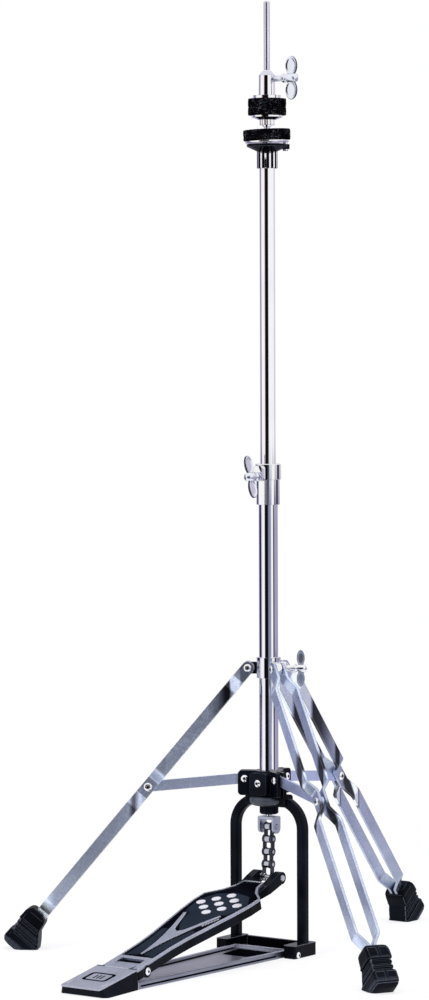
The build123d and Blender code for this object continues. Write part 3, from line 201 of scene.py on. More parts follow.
# The studio as the chrome sees it: (degrees round from the camera toward the picture's right, colour).
# Tubes above the camera's height mirror the upper ring, and those below it the lower one.
LAVENDER, WHITE, BLACK = (0.42, 0.38, 0.54), (1.0, 1.0, 1.0), (0.004, 0.004, 0.006)
UPPER_RING = (
    (-180, (0.80, 0.78, 0.88)), (-136, (0.70, 0.66, 0.80)), (-130, (0.26, 0.22, 0.36)),
    (-104, (0.30, 0.26, 0.40)), (-96, WHITE), (-46, WHITE), (-40, (0.42, 0.22, 0.17)),
    (-35, (0.16, 0.07, 0.05)), (-32, BLACK), (8, BLACK), (14, WHITE), (96, WHITE),
    (102, (0.62, 0.55, 0.66)), (134, (0.70, 0.64, 0.74)), (142, WHITE), (180, (0.80, 0.78, 0.88)),
)
LOWER_RING = (
    (-180, LAVENDER), (-142, LAVENDER), (-135, (0.03, 0.02, 0.06)), (-96, (0.03, 0.03, 0.06)),
    (-88, (0.80, 0.78, 0.92)), (-70, WHITE), (-47, WHITE), (-42, BLACK), (-6, BLACK),
    (2, (0.22, 0.24, 0.34)), (32, (0.30, 0.33, 0.44)), (37, WHITE), (57, WHITE), (62, (0.05, 0.04, 0.09)),
    (76, (0.06, 0.05, 0.10)), (82, LAVENDER), (130, (0.36, 0.35, 0.47)), (180, LAVENDER),
)
# where one layer of the studio gives way to the next, as (sine of the elevation + 1) / 2
HORIZON, SKY_EDGE = (0.476, 0.484), (0.67, 0.73)


def make_world():
    world = bpy.data.worlds.new("studio")
    bpy.context.scene.world = world
    world.use_nodes = True
    t = Tree(world.node_tree)
    place = t.add("ShaderNodeTexCoord").outputs["Generated"]
    turn = {"Vector": place, "Angle": math.radians(90 - VIEW_AZIMUTH)}
    turned = t.add("ShaderNodeVectorRotate", turn, rotation_type="Z_AXIS").outputs[0]
    parts = t.add("ShaderNodeSeparateXYZ", {0: turned})
    # after the turn the camera stands at azimuth 0 and the picture's right is at azimuth +90
    azimuth = t.math("ARCTAN2", parts.outputs[1], parts.outputs[0])
    share = t.math("ADD", t.math("DIVIDE", azimuth, 2 * math.pi), 0.5)
    upper, lower = (
        t.ramp(share, [((degrees + 180) / 360, colour) for degrees, colour in ring])
        for ring in (UPPER_RING, LOWER_RING)
    )
    height = t.math("ADD", t.math("MULTIPLY", parts.outputs[2], 0.5), 0.5)
    above, sky = (t.ramp(height, list(zip(edge, ((0, 0, 0), (1, 1, 1))))) for edge in (HORIZON, SKY_EDGE))
    seen = t.mix(sky, t.mix(above, lower, upper), WHITE)
    glossy = t.add("ShaderNodeBackground", {"Color": seen, "Strength": 1.0}).outputs[0]
    plain = t.add("ShaderNodeBackground", {"Color": (1, 1, 1, 1), "Strength": 1.0}).outputs[0]
    path = t.add("ShaderNodeLightPath")
    surface = t.add("ShaderNodeMixShader", {0: path.outputs["Is Camera Ray"], 1: glossy, 2: plain})
    out = t.add("ShaderNodeOutputWorld")
    t.tree.links.new(surface.outputs[0], out.inputs["Surface"])


def area_light(name, spot, aim, size, power):
    """A soft white lamp that the chrome doesn't mirror."""
    data = bpy.data.lights.new(name, "AREA")
    data.shape = "RECTANGLE"
    data.size, data.size_y = size
    data.energy = power
    lamp = bpy.data.objects.new(name, data)
    lamp.location = spot
    lamp.rotation_euler = (Vector(aim) - Vector(spot)).to_track_quat("-Z", "Y").to_euler()
    lamp.visible_glossy = False
    bpy.context.scene.collection.objects.link(lamp)


def make_lights():
    area_light("overhead", (0.2, -0.2, 3.2), (0, 0, 0), (2.6, 2.6), 42)
    left = TOWARD * 1.8 - RIGHT * 2.2 + Vector((0, 0, 1.7))
    area_light("key", left, (0, 0, 0.35), (1.2, 1.8), 18)


def make_floor():
    """A round sheet of pale paper whose rim fades into the white behind it."""
    mesh = bpy.data.meshes.new("floor")
    b = bmesh.new()
    bmesh.ops.create_circle(b, cap_ends=True, segments=128, radius=FLOOR_R)
    b.to_mesh(mesh)
    b.free()
    floor = bpy.data.objects.new("floor", mesh)
    bpy.context.scene.collection.objects.link(floor)
    material, t = new_material("floor_paper")
    place = t.add("ShaderNodeTexCoord").outputs["Object"]
    grain = noise_at(t, place, 60.0)
    colour = t.ramp(grain, [(0.3, (0.93, 0.93, 0.94)), (0.7, (0.96, 0.96, 0.97))])
    lit = t.add("ShaderNodeEmission", {"Color": colour, "Strength": 1.04}).outputs[0]
    shaded = t.add("ShaderNodeBsdfDiffuse", {"Color": colour}).outputs[0]
    paper = t.add("ShaderNodeMixShader", {0: SHADOW_SHARE, 1: lit, 2: shaded}).outputs[0]
    reach = t.add("ShaderNodeVectorMath", {0: place}, operation="LENGTH").outputs["Value"]
    fade = t.ramp(reach, [(0.42, (0, 0, 0)), (FLOOR_R * 0.98, (1, 1, 1))], "EASE")
    clear = t.add("ShaderNodeBsdfTransparent").outputs[0]
    close(t, t.add("ShaderNodeMixShader", {0: fade, 1: paper, 2: clear}))
    mesh.materials.append(material)


# ---- materials ----------------------------------------------------------------------------------
EDGE_REACH, WIDE_REACH = 0.0006, 0.0012      # how far the painted edge colour (painted highlight or painted dark outline) spreads, in metres
EDGE_LEAN = (0.80, 0.985)                    # full colour below the first, none above the second
ROUND_EDGES, ROUND_STRAPS = 0.0003, 0.0004
STRAP_GRAIN, PAINT_GRAIN = 620.0, 700.0      # scales of the speckle
STRAP_REACH = 0.26                           # the straps' painted light and shade ends this far from the column
METAL = {"Metallic": 1.0}
DULL = {"Specular IOR Level": 0.04}
MATTE = {"Specular IOR Level": 0.0}
# painted edge colours: a painted dark outline, a painted highlight and a dimmer painted edge of shade
PAINTED_DARK_OUTLINE, PAINTED_EDGE_HIGHLIGHT, PAINTED_SHADE_EDGE = (0.10, 0.10, 0.15), (0.95, 0.95, 0.98), (0.16, 0.17, 0.24)


def new_material(name):
    material = bpy.data.materials.new(name)
    material.use_nodes = True
    return material, Tree(material.node_tree)


def close(t, shader):
    out = t.add("ShaderNodeOutputMaterial")
    t.tree.links.new(shader.outputs[0], out.inputs["Surface"])


def noise_at(t, place, scale, detail=3.0, stretch=None):
    if stretch:
        place = t.add("ShaderNodeMapping", {"Vector": place, "Scale": stretch}).outputs[0]
    return t.add("ShaderNodeTexNoise", {"Vector": place, "Scale": scale, "Detail": detail}).outputs["Fac"]


def edge_mask(t, radius):
    """White along sharp edges, from how far the rounded normal leans away from the true one; it places the
    painted edge highlights and painted dark outlines.
    """
    rounded = t.add("ShaderNodeBevel", {"Radius": radius}, samples=6).outputs[0]
    true = t.add("ShaderNodeNewGeometry").outputs["Normal"]
    lean = t.add("ShaderNodeVectorMath", {0: rounded, 1: true}, operation="DOT_PRODUCT").outputs["Value"]
    return t.ramp(lean, list(zip(EDGE_LEAN, ((1, 1, 1), (0, 0, 0)))))


def flecks(t, place, scale, grain):
    """A fine speckle to multiply a colour with, from 1 - grain to 1 + grain."""
    return t.ramp(noise_at(t, place, scale, 2.0), [(0.38, (1 - grain,) * 3), (0.62, (1 + grain,) * 3)])


def surface_normal(t, height, bump, radius):
    """A fine texture over edges rounded to a radius."""
    soft = t.add("ShaderNodeBevel", {"Radius": radius}, samples=6).outputs[0]
    inputs = {"Strength": bump, "Distance": 0.0002, "Height": height, "Normal": soft}
    return t.add("ShaderNodeBump", inputs).outputs[0]


def finish_material(name, colours, rough, scale, bump, edge=None, reach=EDGE_REACH, grain=0.0, **shader):
    """A surface whose colour and roughness drift, with a fine texture and edges rounded and given a painted
    edge colour: a painted highlight, or a painted dark outline where edge is dark.
    """
    material, t = new_material(name)
    place = t.add("ShaderNodeTexCoord").outputs["Object"]
    drift = noise_at(t, place, 26.0, 3.0)
    fine = noise_at(t, place, scale, 4.0)
    colour = t.ramp(drift, [(0.3, colours[0]), (0.7, colours[1])])
    if grain:
        colour = t.mix(1.0, colour, flecks(t, place, PAINT_GRAIN, grain), "MULTIPLY")
    # painted light along the edges: edge is a painted highlight or a painted dark outline
    if edge:
        colour = t.mix(edge_mask(t, reach), colour, edge)
    roughness = t.ramp(fine, [(0.3, (rough[0],) * 3), (0.75, (rough[1],) * 3)])
    normal = surface_normal(t, fine, bump, ROUND_EDGES)
    inputs = {"Base Color": colour, "Roughness": roughness, "Normal": normal, **shader}
    close(t, t.add("ShaderNodeBsdfPrincipled", inputs))
    return material


def felt_material():
    """Pressed black felt: matted short fibres with lighter strands lying across."""
    material, t = new_material("black_felt")
    place = t.add("ShaderNodeTexCoord").outputs["Object"]
    mat = noise_at(t, place, 420.0, 5.0, (1, 1, 2.2))
    strands = noise_at(t, place, 520.0, 3.0, (1, 1, 2.6))
    patches = noise_at(t, place, 110.0, 2.0)
    body = t.ramp(mat, [(0.35, (0.0008, 0.0008, 0.0012)), (0.62, (0.004, 0.004, 0.006)),
                        (0.72, (0.02, 0.02, 0.026))])
    fibre = t.math("MULTIPLY", t.ramp(strands, [(0.56, (0, 0, 0)), (0.64, (1, 1, 1))]),
                   t.ramp(patches, [(0.44, (0, 0, 0)), (0.56, (1, 1, 1))]))
    colour = t.mix(fibre, body, (0.13, 0.13, 0.16))
    normal = t.add("ShaderNodeBump", {"Strength": 0.8, "Distance": 0.0006, "Height": mat}).outputs[0]
    inputs = {"Base Color": colour, "Roughness": 0.95, "Normal": normal, **MATTE}
    close(t, t.add("ShaderNodeBsdfPrincipled", inputs))
    return material


def strap_material(name, painted_light, edge):
    """Plated strap steel: satin under a thin bright coat, with painted highlights and painted dark
    reflections by turns down the leg, at its bends.
    """
    material, t = new_material(name)
    place = t.add("ShaderNodeTexCoord").outputs["Object"]
    flat = t.add("ShaderNodeVectorMath", {0: place, 1: (1, 1, 0)}, operation="MULTIPLY").outputs["Vector"]
    reach = t.add("ShaderNodeVectorMath", {0: flat}, operation="LENGTH").outputs["Value"]
    slope = math.cos(math.radians(LEG_SLOPE))
    spots = [(LEG_PIVOT_RADIUS + station * slope) * MM / STRAP_REACH for station, _ in painted_light]
    stops = [(spot, (level,) * 3) for spot, (_, level) in zip(spots, painted_light)]
    # painted highlights and dark reflections at the bends, by distance from the column
    painted_light_level = t.ramp(t.math("DIVIDE", reach, STRAP_REACH), stops)
    drift = noise_at(t, place, 34.0, 4.0)
    fine = noise_at(t, place, 260.0, 3.0)
    base = t.ramp(drift, [(0.30, (0.34, 0.385, 0.505)), (0.70, (0.44, 0.49, 0.635))])
    grain = flecks(t, place, STRAP_GRAIN, 0.12)
    colour = t.mix(1.0, t.mix(1.0, base, painted_light_level, "MULTIPLY"), grain, "MULTIPLY")
    # painted highlight or painted shade along the strap edges
    colour = t.mix(edge_mask(t, WIDE_REACH), colour, edge)
    roughness = t.ramp(fine, [(0.3, (0.34,) * 3), (0.75, (0.42,) * 3)])
    normal = surface_normal(t, fine, 0.04, ROUND_STRAPS)
    inputs = {"Base Color": colour, "Roughness": roughness, "Normal": normal, **METAL}
    close(t, t.add("ShaderNodeBsdfPrincipled", {**inputs, "Coat Weight": 0.25, "Coat Roughness": 0.08}))
    return material


# painted light down each leg: (millimetres from its pivot, level); the steep pairs are the painted
# highlights and dark reflections of the bends
STRAP_PAINTED_LIGHT = {
    "left": (
        (-8, 0.9), (12, 0.9), (14, 1.9), (28, 1.6), (30, 0.04), (38, 0.08), (50, 0.9), (64, 1.6),
        (126, 1.8), (131, 1.5), (150, 1.1), (166, 1.1), (170, 1.6), (178, 0.25), (182, 0.25), (188, 1.5),
        (215, 1.2), (255, 1.05), (305, 1.15), (318, 2.2), (330, 2.2),
    ),
    "right": (
        (-8, 1.2), (14, 1.4), (18, 1.9), (110, 1.8), (119, 0.06), (133, 0.05), (137, 2.2), (146, 1.3),
        (166, 1.2), (172, 0.08), (184, 0.05), (188, 2.2), (192, 1.6), (255, 1.6), (305, 1.5), (315, 1.8),
        (323, 1.4),
    ),
    "rear": (
        (-8, 1.3), (14, 1.3), (18, 2.3), (54, 2.1), (62, 0.03), (84, 0.10), (104, 0.55), (120, 1.1),
        (125, 0.06), (134, 0.05), (138, 1.1), (160, 1.1), (166, 0.05), (178, 0.05), (180, 2.4), (186, 2.4),
        (189, 0.1), (192, 1.2), (255, 1.2), (305, 1.1), (323, 1.0),
    ),
}
# painted edge colours of the straps: a painted highlight on the left leg, painted shade on the others
STRAP_EDGES = {"left": PAINTED_EDGE_HIGHLIGHT, "right": PAINTED_SHADE_EDGE, "rear": PAINTED_SHADE_EDGE}
# edge= is a painted edge colour: the light ones are painted highlights, the dark ones painted dark outlines
# material: (name, darkest and lightest colour, roughness range, texture's scale, its depth, the rest)
FINISHES = {
    "chrome": ("bright_chrome", ((0.86, 0.86, 0.89), (0.93, 0.93, 0.95)), (0.02, 0.05), 180.0, 0.01,
               dict(edge=PAINTED_DARK_OUTLINE, **METAL)),
    "satin": ("satin_chrome", ((0.74, 0.77, 0.86), (0.86, 0.88, 0.95)), (0.20, 0.30), 260.0, 0.02,
              dict(edge=PAINTED_DARK_OUTLINE, **METAL)),
    "rod": ("satin_rod", ((0.66, 0.66, 0.76), (0.76, 0.76, 0.86)), (0.18, 0.26), 260.0, 0.02, METAL),
    # the base plate's bright edges are painted highlights
    "plate": ("worn_silver", ((0.20, 0.21, 0.27), (0.27, 0.28, 0.36)), (0.30, 0.42), 700.0, 0.2,
              dict(edge=(0.85, 0.86, 0.94), reach=WIDE_REACH, **METAL)),
    # the rail's light edges are painted highlights
    "rail": ("worn_black", ((0.0015, 0.0015, 0.003), (0.004, 0.004, 0.008)), (0.20, 0.30), 500.0, 0.1,
             dict(edge=(0.26, 0.28, 0.34), reach=WIDE_REACH, **DULL)),
    "strut": ("plated_strut", ((0.56, 0.63, 0.86), (0.66, 0.74, 1.0)), (0.36, 0.44), 260.0, 0.04,
              dict(edge=(0.90, 0.90, 0.96), grain=0.08, **METAL)),
    "wing": ("grey_plating", ((0.34, 0.37, 0.46), (0.44, 0.47, 0.58)), (0.36, 0.44), 260.0, 0.04,
             dict(edge=PAINTED_DARK_OUTLINE, **METAL)),
    "steel": ("steel", ((0.38, 0.39, 0.46), (0.55, 0.56, 0.62)), (0.16, 0.30), 240.0, 0.10,
              dict(edge=PAINTED_DARK_OUTLINE, **METAL)),
    "link": ("dark_link_steel", ((0.020, 0.020, 0.028), (0.05, 0.05, 0.07)), (0.16, 0.26), 240.0, 0.1,
             dict(edge=(0.15, 0.16, 0.21), **METAL)),
    # painted dark reflection: the clamp's dark stripe, and the painted dark outline of the wing rims
    "seam": ("seam_steel", ((0.05, 0.05, 0.08), (0.09, 0.09, 0.13)), (0.20, 0.30), 240.0, 0.1, METAL),
    "silver": ("silver_paint", ((0.31, 0.335, 0.425), (0.40, 0.425, 0.53)), (0.34, 0.46), 900.0, 0.25,
               dict(edge=(0.92, 0.92, 0.98), grain=0.12, **METAL)),
    "bright": ("bright_silver", ((0.80, 0.80, 0.88), (0.90, 0.90, 0.97)), (0.30, 0.40), 900.0, 0.1,
               dict(edge=(0.10, 0.10, 0.16), **METAL)),
    "black": ("black_enamel", ((0.0012, 0.0012, 0.0025), (0.008, 0.010, 0.018)), (0.18, 0.30), 500.0, 0.12,
              dict(edge=(0.075, 0.085, 0.13), **DULL)),
    "pit": ("matte_black", ((0.0012, 0.0012, 0.0025), (0.0045, 0.0050, 0.0090)), (0.7, 0.9), 700.0, 0.3,
            dict(edge=(0.05, 0.055, 0.085), **MATTE)),
    "inlay": ("dark_grip", ((0.013, 0.018, 0.030), (0.021, 0.028, 0.044)), (0.6, 0.8), 1400.0, 0.5,
              dict(edge=(0.004, 0.004, 0.008), **MATTE)),
    "gloss": ("gloss_plastic", ((0.002, 0.002, 0.003), (0.004, 0.004, 0.007)), (0.08, 0.16), 500.0, 0.04,
              dict(edge=(0.14, 0.16, 0.22), reach=WIDE_REACH, **DULL)),
    "nylon": ("white_nylon", ((0.78, 0.78, 0.74), (0.86, 0.86, 0.82)), (0.40, 0.50), 500.0, 0.08, {}),
    # the lip's lighter enamel and light edges are a painted highlight band
    "lip": ("worn_enamel", ((0.030, 0.037, 0.055), (0.060, 0.072, 0.098)), (0.30, 0.42), 400.0, 0.1,
            dict(edge=(0.20, 0.22, 0.28))),
    "rubber": ("black_rubber", ((0.0012, 0.0012, 0.0025), (0.005, 0.007, 0.013)), (0.36, 0.55), 700.0, 0.3,
               dict(edge=(0.15, 0.17, 0.23), reach=WIDE_REACH, **DULL)),
}
MATERIALS = {
    **{key: finish_material(*row[:-1], **row[-1]) for key, row in FINISHES.items()},
    **{
        f"{leg}_strap": strap_material(f"plated_strap_{leg}", STRAP_PAINTED_LIGHT[leg], STRAP_EDGES[leg])
        for leg in LEGS
    },
    "felt": felt_material(),
}

# which CAD nodes each material goes on
LOOK_NODES = {
    "chrome": (
        "lower_tube", "lower_pull_rod", "height_clamp", "height_wing_bolt", "seat_collar", "seat_washer",
        "clutch_sleeve", "clutch_body", "clutch_washer", "clutch_lower_washer", "clutch_nut",
        "clutch_wing_bolt", "leg_hub", "leg_pins", "hub_wing_bolt", "casting_screws", "base_plate_pins",
        "heel_hinge_pin", "upper_tube",
    ),
    "rod": ("upper_pull_rod",),
    "satin": ("tilt_screw",),
    "wing": ("clevis",),
    "steel": ("rod_coupling", "return_spring", "toe_pin", "clevis_pin", "chain_rollers", "chain_pins"),
    "link": ("chain_inner_plates", "chain_outer_plates"),
    "silver": ("heel_plate", "footboard_trim", "footboard_ridge"),
    "plate": ("base_plate",),
    "bright": ("footboard_studs",),
    "black": ("lower_end_cap", "base_casting", "hoop", "heel_base", "footboard"),
    "rail": ("base_channel",),
    "pit": ("footboard_inlay",),
    "gloss": ("seat_cup",),
    "nylon": ("rod_guide", "clamp_bushing"),
    "felt": ("seat_felt", "clutch_upper_felt", "clutch_lower_felt"),
}
LOOK = {node: look for look, nodes in LOOK_NODES.items() for node in nodes}
for leg in LEGS:
    LOOK[f"{leg}_leg_straps"] = f"{leg}_strap"
    LOOK[f"{leg}_strut"] = "strut"
    LOOK[f"{leg}_leg_rivets"] = "chrome"
    LOOK[f"{leg}_foot"] = "rubber"


def dress_nodes():
    for name, obj in NODES.items():
        obj.data.materials.clear()
        obj.data.materials.append(MATERIALS[LOOK[name]])


# ---- mesh helpers: shapes are drawn in millimetres and scaled once, in make_piece ----------------
def joint_spot(name):
    """Where a joint stands at rest, in millimetres."""
    return Vector(JOINTS[name]["pos_m"]) * 1000


def frame_at(origin, axis, across=Z_AXIS):
    """A matrix whose Z is axis, with its Y as near across as it can be."""
    z = Vector(axis).normalized()
    x = Vector(across).cross(z).normalized()
    turn = Matrix((x, z.cross(x), z)).transposed().to_4x4()
    return Matrix.Translation(Vector(origin)) @ turn


def make_piece(name, b, body, materials, stands_for=(), sharp=40):
    """Turns a bmesh into a piece that rides on a body and stands for CAD nodes."""
    bmesh.ops.remove_doubles(b, verts=b.verts, dist=0.0005)
    bmesh.ops.recalc_face_normals(b, faces=b.faces)
    bmesh.ops.scale(b, vec=(MM, MM, MM), verts=b.verts)
    mesh = bpy.data.meshes.new(name)
    b.to_mesh(mesh)
    b.free()
    mesh.shade_smooth()
    mesh.set_sharp_from_angle(angle=math.radians(sharp))
    piece = bpy.data.objects.new(name, mesh)
    bpy.context.scene.collection.objects.link(piece)
    for material in materials:
        mesh.materials.append(MATERIALS[material])
    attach(piece, body)
    if stands_for:
        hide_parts(*stands_for)


def skin(b, rings, closed=True, cap=False, paint=None, index=0):
    """Faces between rings of vertices. paint gives a material index for each gap, or index is for all."""
    count = len(rings[0])
    spans = len(rings) if closed else len(rings) - 1
    for i in range(spans):
        low, high = rings[i], rings[(i + 1) % len(rings)]
        for j in range(count):
            k = (j + 1) % count
            face = b.faces.new((low[j], low[k], high[k], high[j]))
            face.material_index = paint[i] if paint else index
    if cap:
        for ring in (rings[0][::-1], rings[-1]):
            b.faces.new(ring).material_index = index


def lathe(b, place, profile, segments=64, paint=None, hexed=(), wobble=None):
    """Turns a (radius, height) profile round the Z of place. The points in hexed follow a hexagon."""
    rings = []
    for index, (radius, height) in enumerate(profile):
        ring = []
        for j in range(segments):
            angle = 2 * math.pi * j / segments
            reach = radius
            if index in hexed:
                sixth = (angle + math.pi / 6) % (math.pi / 3) - math.pi / 6
                reach = radius * math.cos(math.pi / 6) / math.cos(sixth)
            spot = Vector((reach * math.cos(angle), reach * math.sin(angle), height))
            if wobble:
                spot = wobble(spot)
            ring.append(b.verts.new(place @ spot))
        rings.append(ring)
    skin(b, rings, closed=False, paint=paint)


def arc(centre, radius, start, end, steps):
    """Points on an arc in a profile, from one angle to another in degrees."""
    return [
        (
            centre[0] + radius * math.cos(math.radians(start + (end - start) * i / steps)),
            centre[1] + radius * math.sin(math.radians(start + (end - start) * i / steps)),
        )
        for i in range(steps + 1)
    ]


# ---- felts --------------------------------------------------------------------------------------
def felt_ring(name, body, node, place, outer, inner, height, corner):
    """A pressed felt ring: rounded rims, a slightly crowned side and a matted surface."""
    half = height / 2
    levels = [half * (i / 5 - 1) * 0.55 for i in range(1, 10)]
    side = [(outer - 0.25 * (z / half) ** 2, z) for z in levels]
    profile = [(inner, -half), *[(inner + (outer - corner - inner) * i / 6, -half) for i in range(1, 6)]]
    profile += arc((outer - corner, -half + corner), corner, -90, -12, 6)
    profile += side
    profile += arc((outer - corner, half - corner), corner, 12, 90, 6)
    profile += [(outer - corner - (outer - corner - inner) * i / 6, half) for i in range(1, 6)]
    profile += [(inner, half), (inner, -half)]

    def matted(spot):
        lumps = noise.noise(spot * 0.35) * 0.30 + noise.noise(spot * 1.6) * 0.22
        pull = 0.30 - lumps
        outward = Vector((spot.x, spot.y, 0)).length
        keep = 1 - max(pull, 0) / max(outward, 1)
        flat = 1 - 0.45 * max(pull, 0) / half
        return Vector((spot.x * keep, spot.y * keep, spot.z * flat))

    b = bmesh.new()
    lathe(b, place, profile, segments=160, wobble=matted)
    make_piece(name, b, body, ["felt"], [node], sharp=60)


def make_felts():
    low, high = (v * 1000 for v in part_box("clutch_lower_felt"))
    radius = (high.x - low.x) / 2
    for name in ("clutch_lower_felt", "clutch_upper_felt"):
        low, high = (v * 1000 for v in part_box(name))
        place = Matrix.Translation((0, 0, (low.z + high.z) / 2))
        felt_ring(f"{name}_pressed", "clutch", name, place, radius, CLUTCH_SLEEVE_R, high.z - low.z,
                  CLUTCH_FELT_CORNER)
    turn, tilt = math.radians(SEAT_TILT_ANGLE), math.radians(SEAT_TILT)
    normal = Vector((-math.sin(tilt) * math.cos(turn), -math.sin(tilt) * math.sin(turn), math.cos(tilt)))
    middle = joint_spot("seat_tilt") + normal * (SEAT_WASHER + SEAT_FELT / 2)
    place = frame_at(middle, normal, Y_AXIS)
    felt_ring("seat_felt_pressed", "seat", "seat_felt", place, SEAT_FELT_R, SEAT_BORE, SEAT_FELT,
              SEAT_FELT_CORNER)


# ---- wing bolts ---------------------------------------------------------------------------------
def wing(b, place, centre, along, across, rim, web, sides=48):
    """One dished oval wing in the plane of place's Y and Z: a round rim and a thinner middle."""
    stations = [(0.0, web), (0.35, web), (0.60, web), (0.70, web + 0.1), (0.80, rim * 0.86), (0.90, rim)]
    stations += [(0.965, rim * 0.80), (0.995, rim * 0.42), (1.0, 0.0)]
    paint = [2] * (len(stations) - 3) + [1, 1]      # the two outermost gaps are the rim, in slot 1: a painted dark outline on the clutch and height bolts
    for side in (1, -1):
        rings = []
        for share, thick in stations:
            ring = []
            for j in range(sides):
                angle = 2 * math.pi * j / sides
                y = centre[0] + along * share * math.sin(angle)
                z = centre[1] + across * share * math.cos(angle)
                ring.append(b.verts.new(place @ Vector((side * thick, y, z))))
            rings.append(ring)
        skin(b, rings, closed=False, paint=paint)


def wing_bolt(name, body, joint, lean, tip, hub, wings, span, slots):
    """A wing bolt: shank, collar and domed hub turned in one, with two dished wings."""
    axis = Vector(JOINTS[joint]["axis"])
    up = Matrix.Rotation(math.radians(lean), 3, axis) @ Z_AXIS
    place = frame_at(joint_spot(joint), axis, up)
    shank, ball = WING_SHANK_R, WING_HUB_R
    low, high = hub
    profile = [(0, tip), (shank - 0.5, tip), (shank, tip + 0.5), (shank, low), (ball - 0.4, low)]
    profile += [(ball, low + 0.4), (ball, low + 1.6), (ball - 0.7, low + 2.4), (ball - 0.5, low + 4.0)]
    profile += [(ball, low + 5.6), (ball, high - ball * 0.62), (ball * 0.86, high - ball * 0.34)]
    profile += arc((0.0, high - ball * 0.72), ball * 0.72, 45, 90, 5)
    b = bmesh.new()
    lathe(b, place, profile, segments=48)
    middle = (wings[0] + wings[1]) / 2
    across = (wings[1] - wings[0]) / 2
    along = (span / 2 - ball * 0.5) / 2
    for side in (1, -1):
        wing(b, place, (side * (span / 2 - along), middle), along, across, WING_RIM / 2, WING_WEB / 2)
    make_piece(f"{name}_cast", b, body, slots, [name], sharp=50)


def make_wing_bolts():
    for name, row in WING_BOLTS.items():
        wing_bolt(name, *row)


# ---- screws and rivets --------------------------------------------------------------------------
def screw_head(base, head_r, height, socket_r):
    """Profile of one domed head with a socket, from its rim on the shank side to the socket floor."""
    dome = [
        (head_r * math.cos(math.radians(a)), base + height * (0.25 + 0.75 * math.sin(math.radians(a))))
        for a in (0, 15, 30, 45)
    ]
    top = base + height
    return [
        (head_r - 0.25, base), (head_r, base + height * 0.2), *dome,
        (socket_r + 0.35, top), (socket_r, top - 0.15), (socket_r, base + 0.2), (0, base + 0.2),
    ]


def screw(b, spot, axis, shank_r, ends, head):
    """A pin along its axis with a head past each end. A low end of None is a stub without a head."""
    place = frame_at(spot, axis, X_AXIS if abs(Vector(axis).normalized().x) < 0.9 else Y_AXIS)
    low, high = ends
    top = screw_head(high, *head)
    if low is None:
        start = [(0, high - PIN_STUB), (shank_r, high - PIN_STUB)]
    else:
        start = [(r, -z) for r, z in reversed(screw_head(-low, *head))] + [(shank_r, low)]
    profile = start + [(shank_r, high)] + top
    count = len(profile)
    # the sockets are black: painted shade in the recess
    socket_shade = [0] * (count - 1)
    socket_shade[-1] = socket_shade[-2] = 1
    if low is not None:
        socket_shade[0] = socket_shade[1] = 1
    hexed = {count - 2, count - 3} if low is None else {count - 2, count - 3, 1, 2}
    lathe(b, place, profile, segments=36, paint=socket_shade, hexed=hexed)


def leg_frame(leg):
    """A leg's pivot and its directions: down the strap, sideways and outward from the strap's face."""
    pivot = joint_spot(f"{leg}_leg_fold")
    sideways = Vector(JOINTS[f"{leg}_leg_fold"]["axis"])
    radial = Vector((pivot.x, pivot.y, 0)).normalized()
    slope = math.radians(LEG_SLOPE)
    down = radial * math.cos(slope) - Z_AXIS * math.sin(slope)
    outward = radial * math.sin(slope) + Z_AXIS * math.cos(slope)
    return pivot, down, sideways, outward


def make_screws():
    b = bmesh.new()
    for leg in LEGS:
        pivot, _, sideways, _ = leg_frame(leg)
        screw(b, pivot, sideways, PIN_R, (-LEG_PIN_HALF, LEG_PIN_HALF), LEG_PIN_HEAD)
    make_piece("leg_pin_screws", b, "leg_hub", ["chrome", "black"], ["leg_pins"])
    for leg in LEGS:
        pivot, down, sideways, _ = leg_frame(leg)
        b = bmesh.new()
        for side in (1, -1):
            spot = pivot + down * RIVET_STATION
            screw(b, spot, sideways * side, PIN_R, (None, RIVET_FACE), RIVET_HEAD)
        make_piece(f"{leg}_leg_rivet_heads", b, f"{leg}_leg", ["chrome", "black"], [f"{leg}_leg_rivets"])
    b = bmesh.new()
    for leg in LEGS:
        joint = f"{leg}_strut_fold"
        screw(b, joint_spot(joint), JOINTS[joint]["axis"], PIN_R, (-EAR_HALF, EAR_HALF), CASTING_HEAD)
    screw(b, (0, 0, CLAMP_SCREW_Z), -Y_AXIS, PIN_R, (None, CLAMP_SCREW_FACE), CASTING_HEAD)
    make_piece("casting_socket_screws", b, "stand", ["chrome", "black"], ["casting_screws"])
    b = bmesh.new()
    screw(b, joint_spot("pedal"), X_AXIS, HINGE_PIN_R, (-HINGE_HALF, HINGE_HALF), HINGE_HEAD)
    make_piece("heel_hinge_bolt", b, "stand", ["chrome", "black"], ["heel_hinge_pin"])
    low, high = (v * 1000 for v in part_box("base_plate_pins"))
    middle = (low + high) / 2
    b = bmesh.new()
    for side in (1, -1):
        screw(b, middle, X_AXIS * side, PIN_R, (None, high.x - PLATE_PIN_INSET), PLATE_PIN_HEAD)
    make_piece("base_plate_screws", b, "stand", ["chrome", "black"], ["base_plate_pins"])


# ---- feet ---------------------------------------------------------------------------------------
def lerp_table(table, at):
    """A value from a table of (station, value) rows, straight between them."""
    for (s0, v0), (s1, v1) in zip(table, table[1:]):
        if at <= s1:
            return v0 + (v1 - v0) * max(at - s0, 0) / (s1 - s0)
    return table[-1][1]


def waist_depth(station):
    """How far the boot is drawn in at a station: a waist with raised ribs round it."""
    if not WAIST[0] < station < WAIST[1]:
        return 0.0
    edge = min(station - WAIST[0], WAIST[1] - station)
    depth = WAIST_DEPTH * min(edge / WAIST_EASE, 1.0)
    for rib in FOOT_RIBS:
        rise = 1 - min(abs(station - rib) / RIB_HALF, 1.0) ** 6
        depth -= RIB_RISE * max(rise, 0.0)
    return max(depth, 0.0)


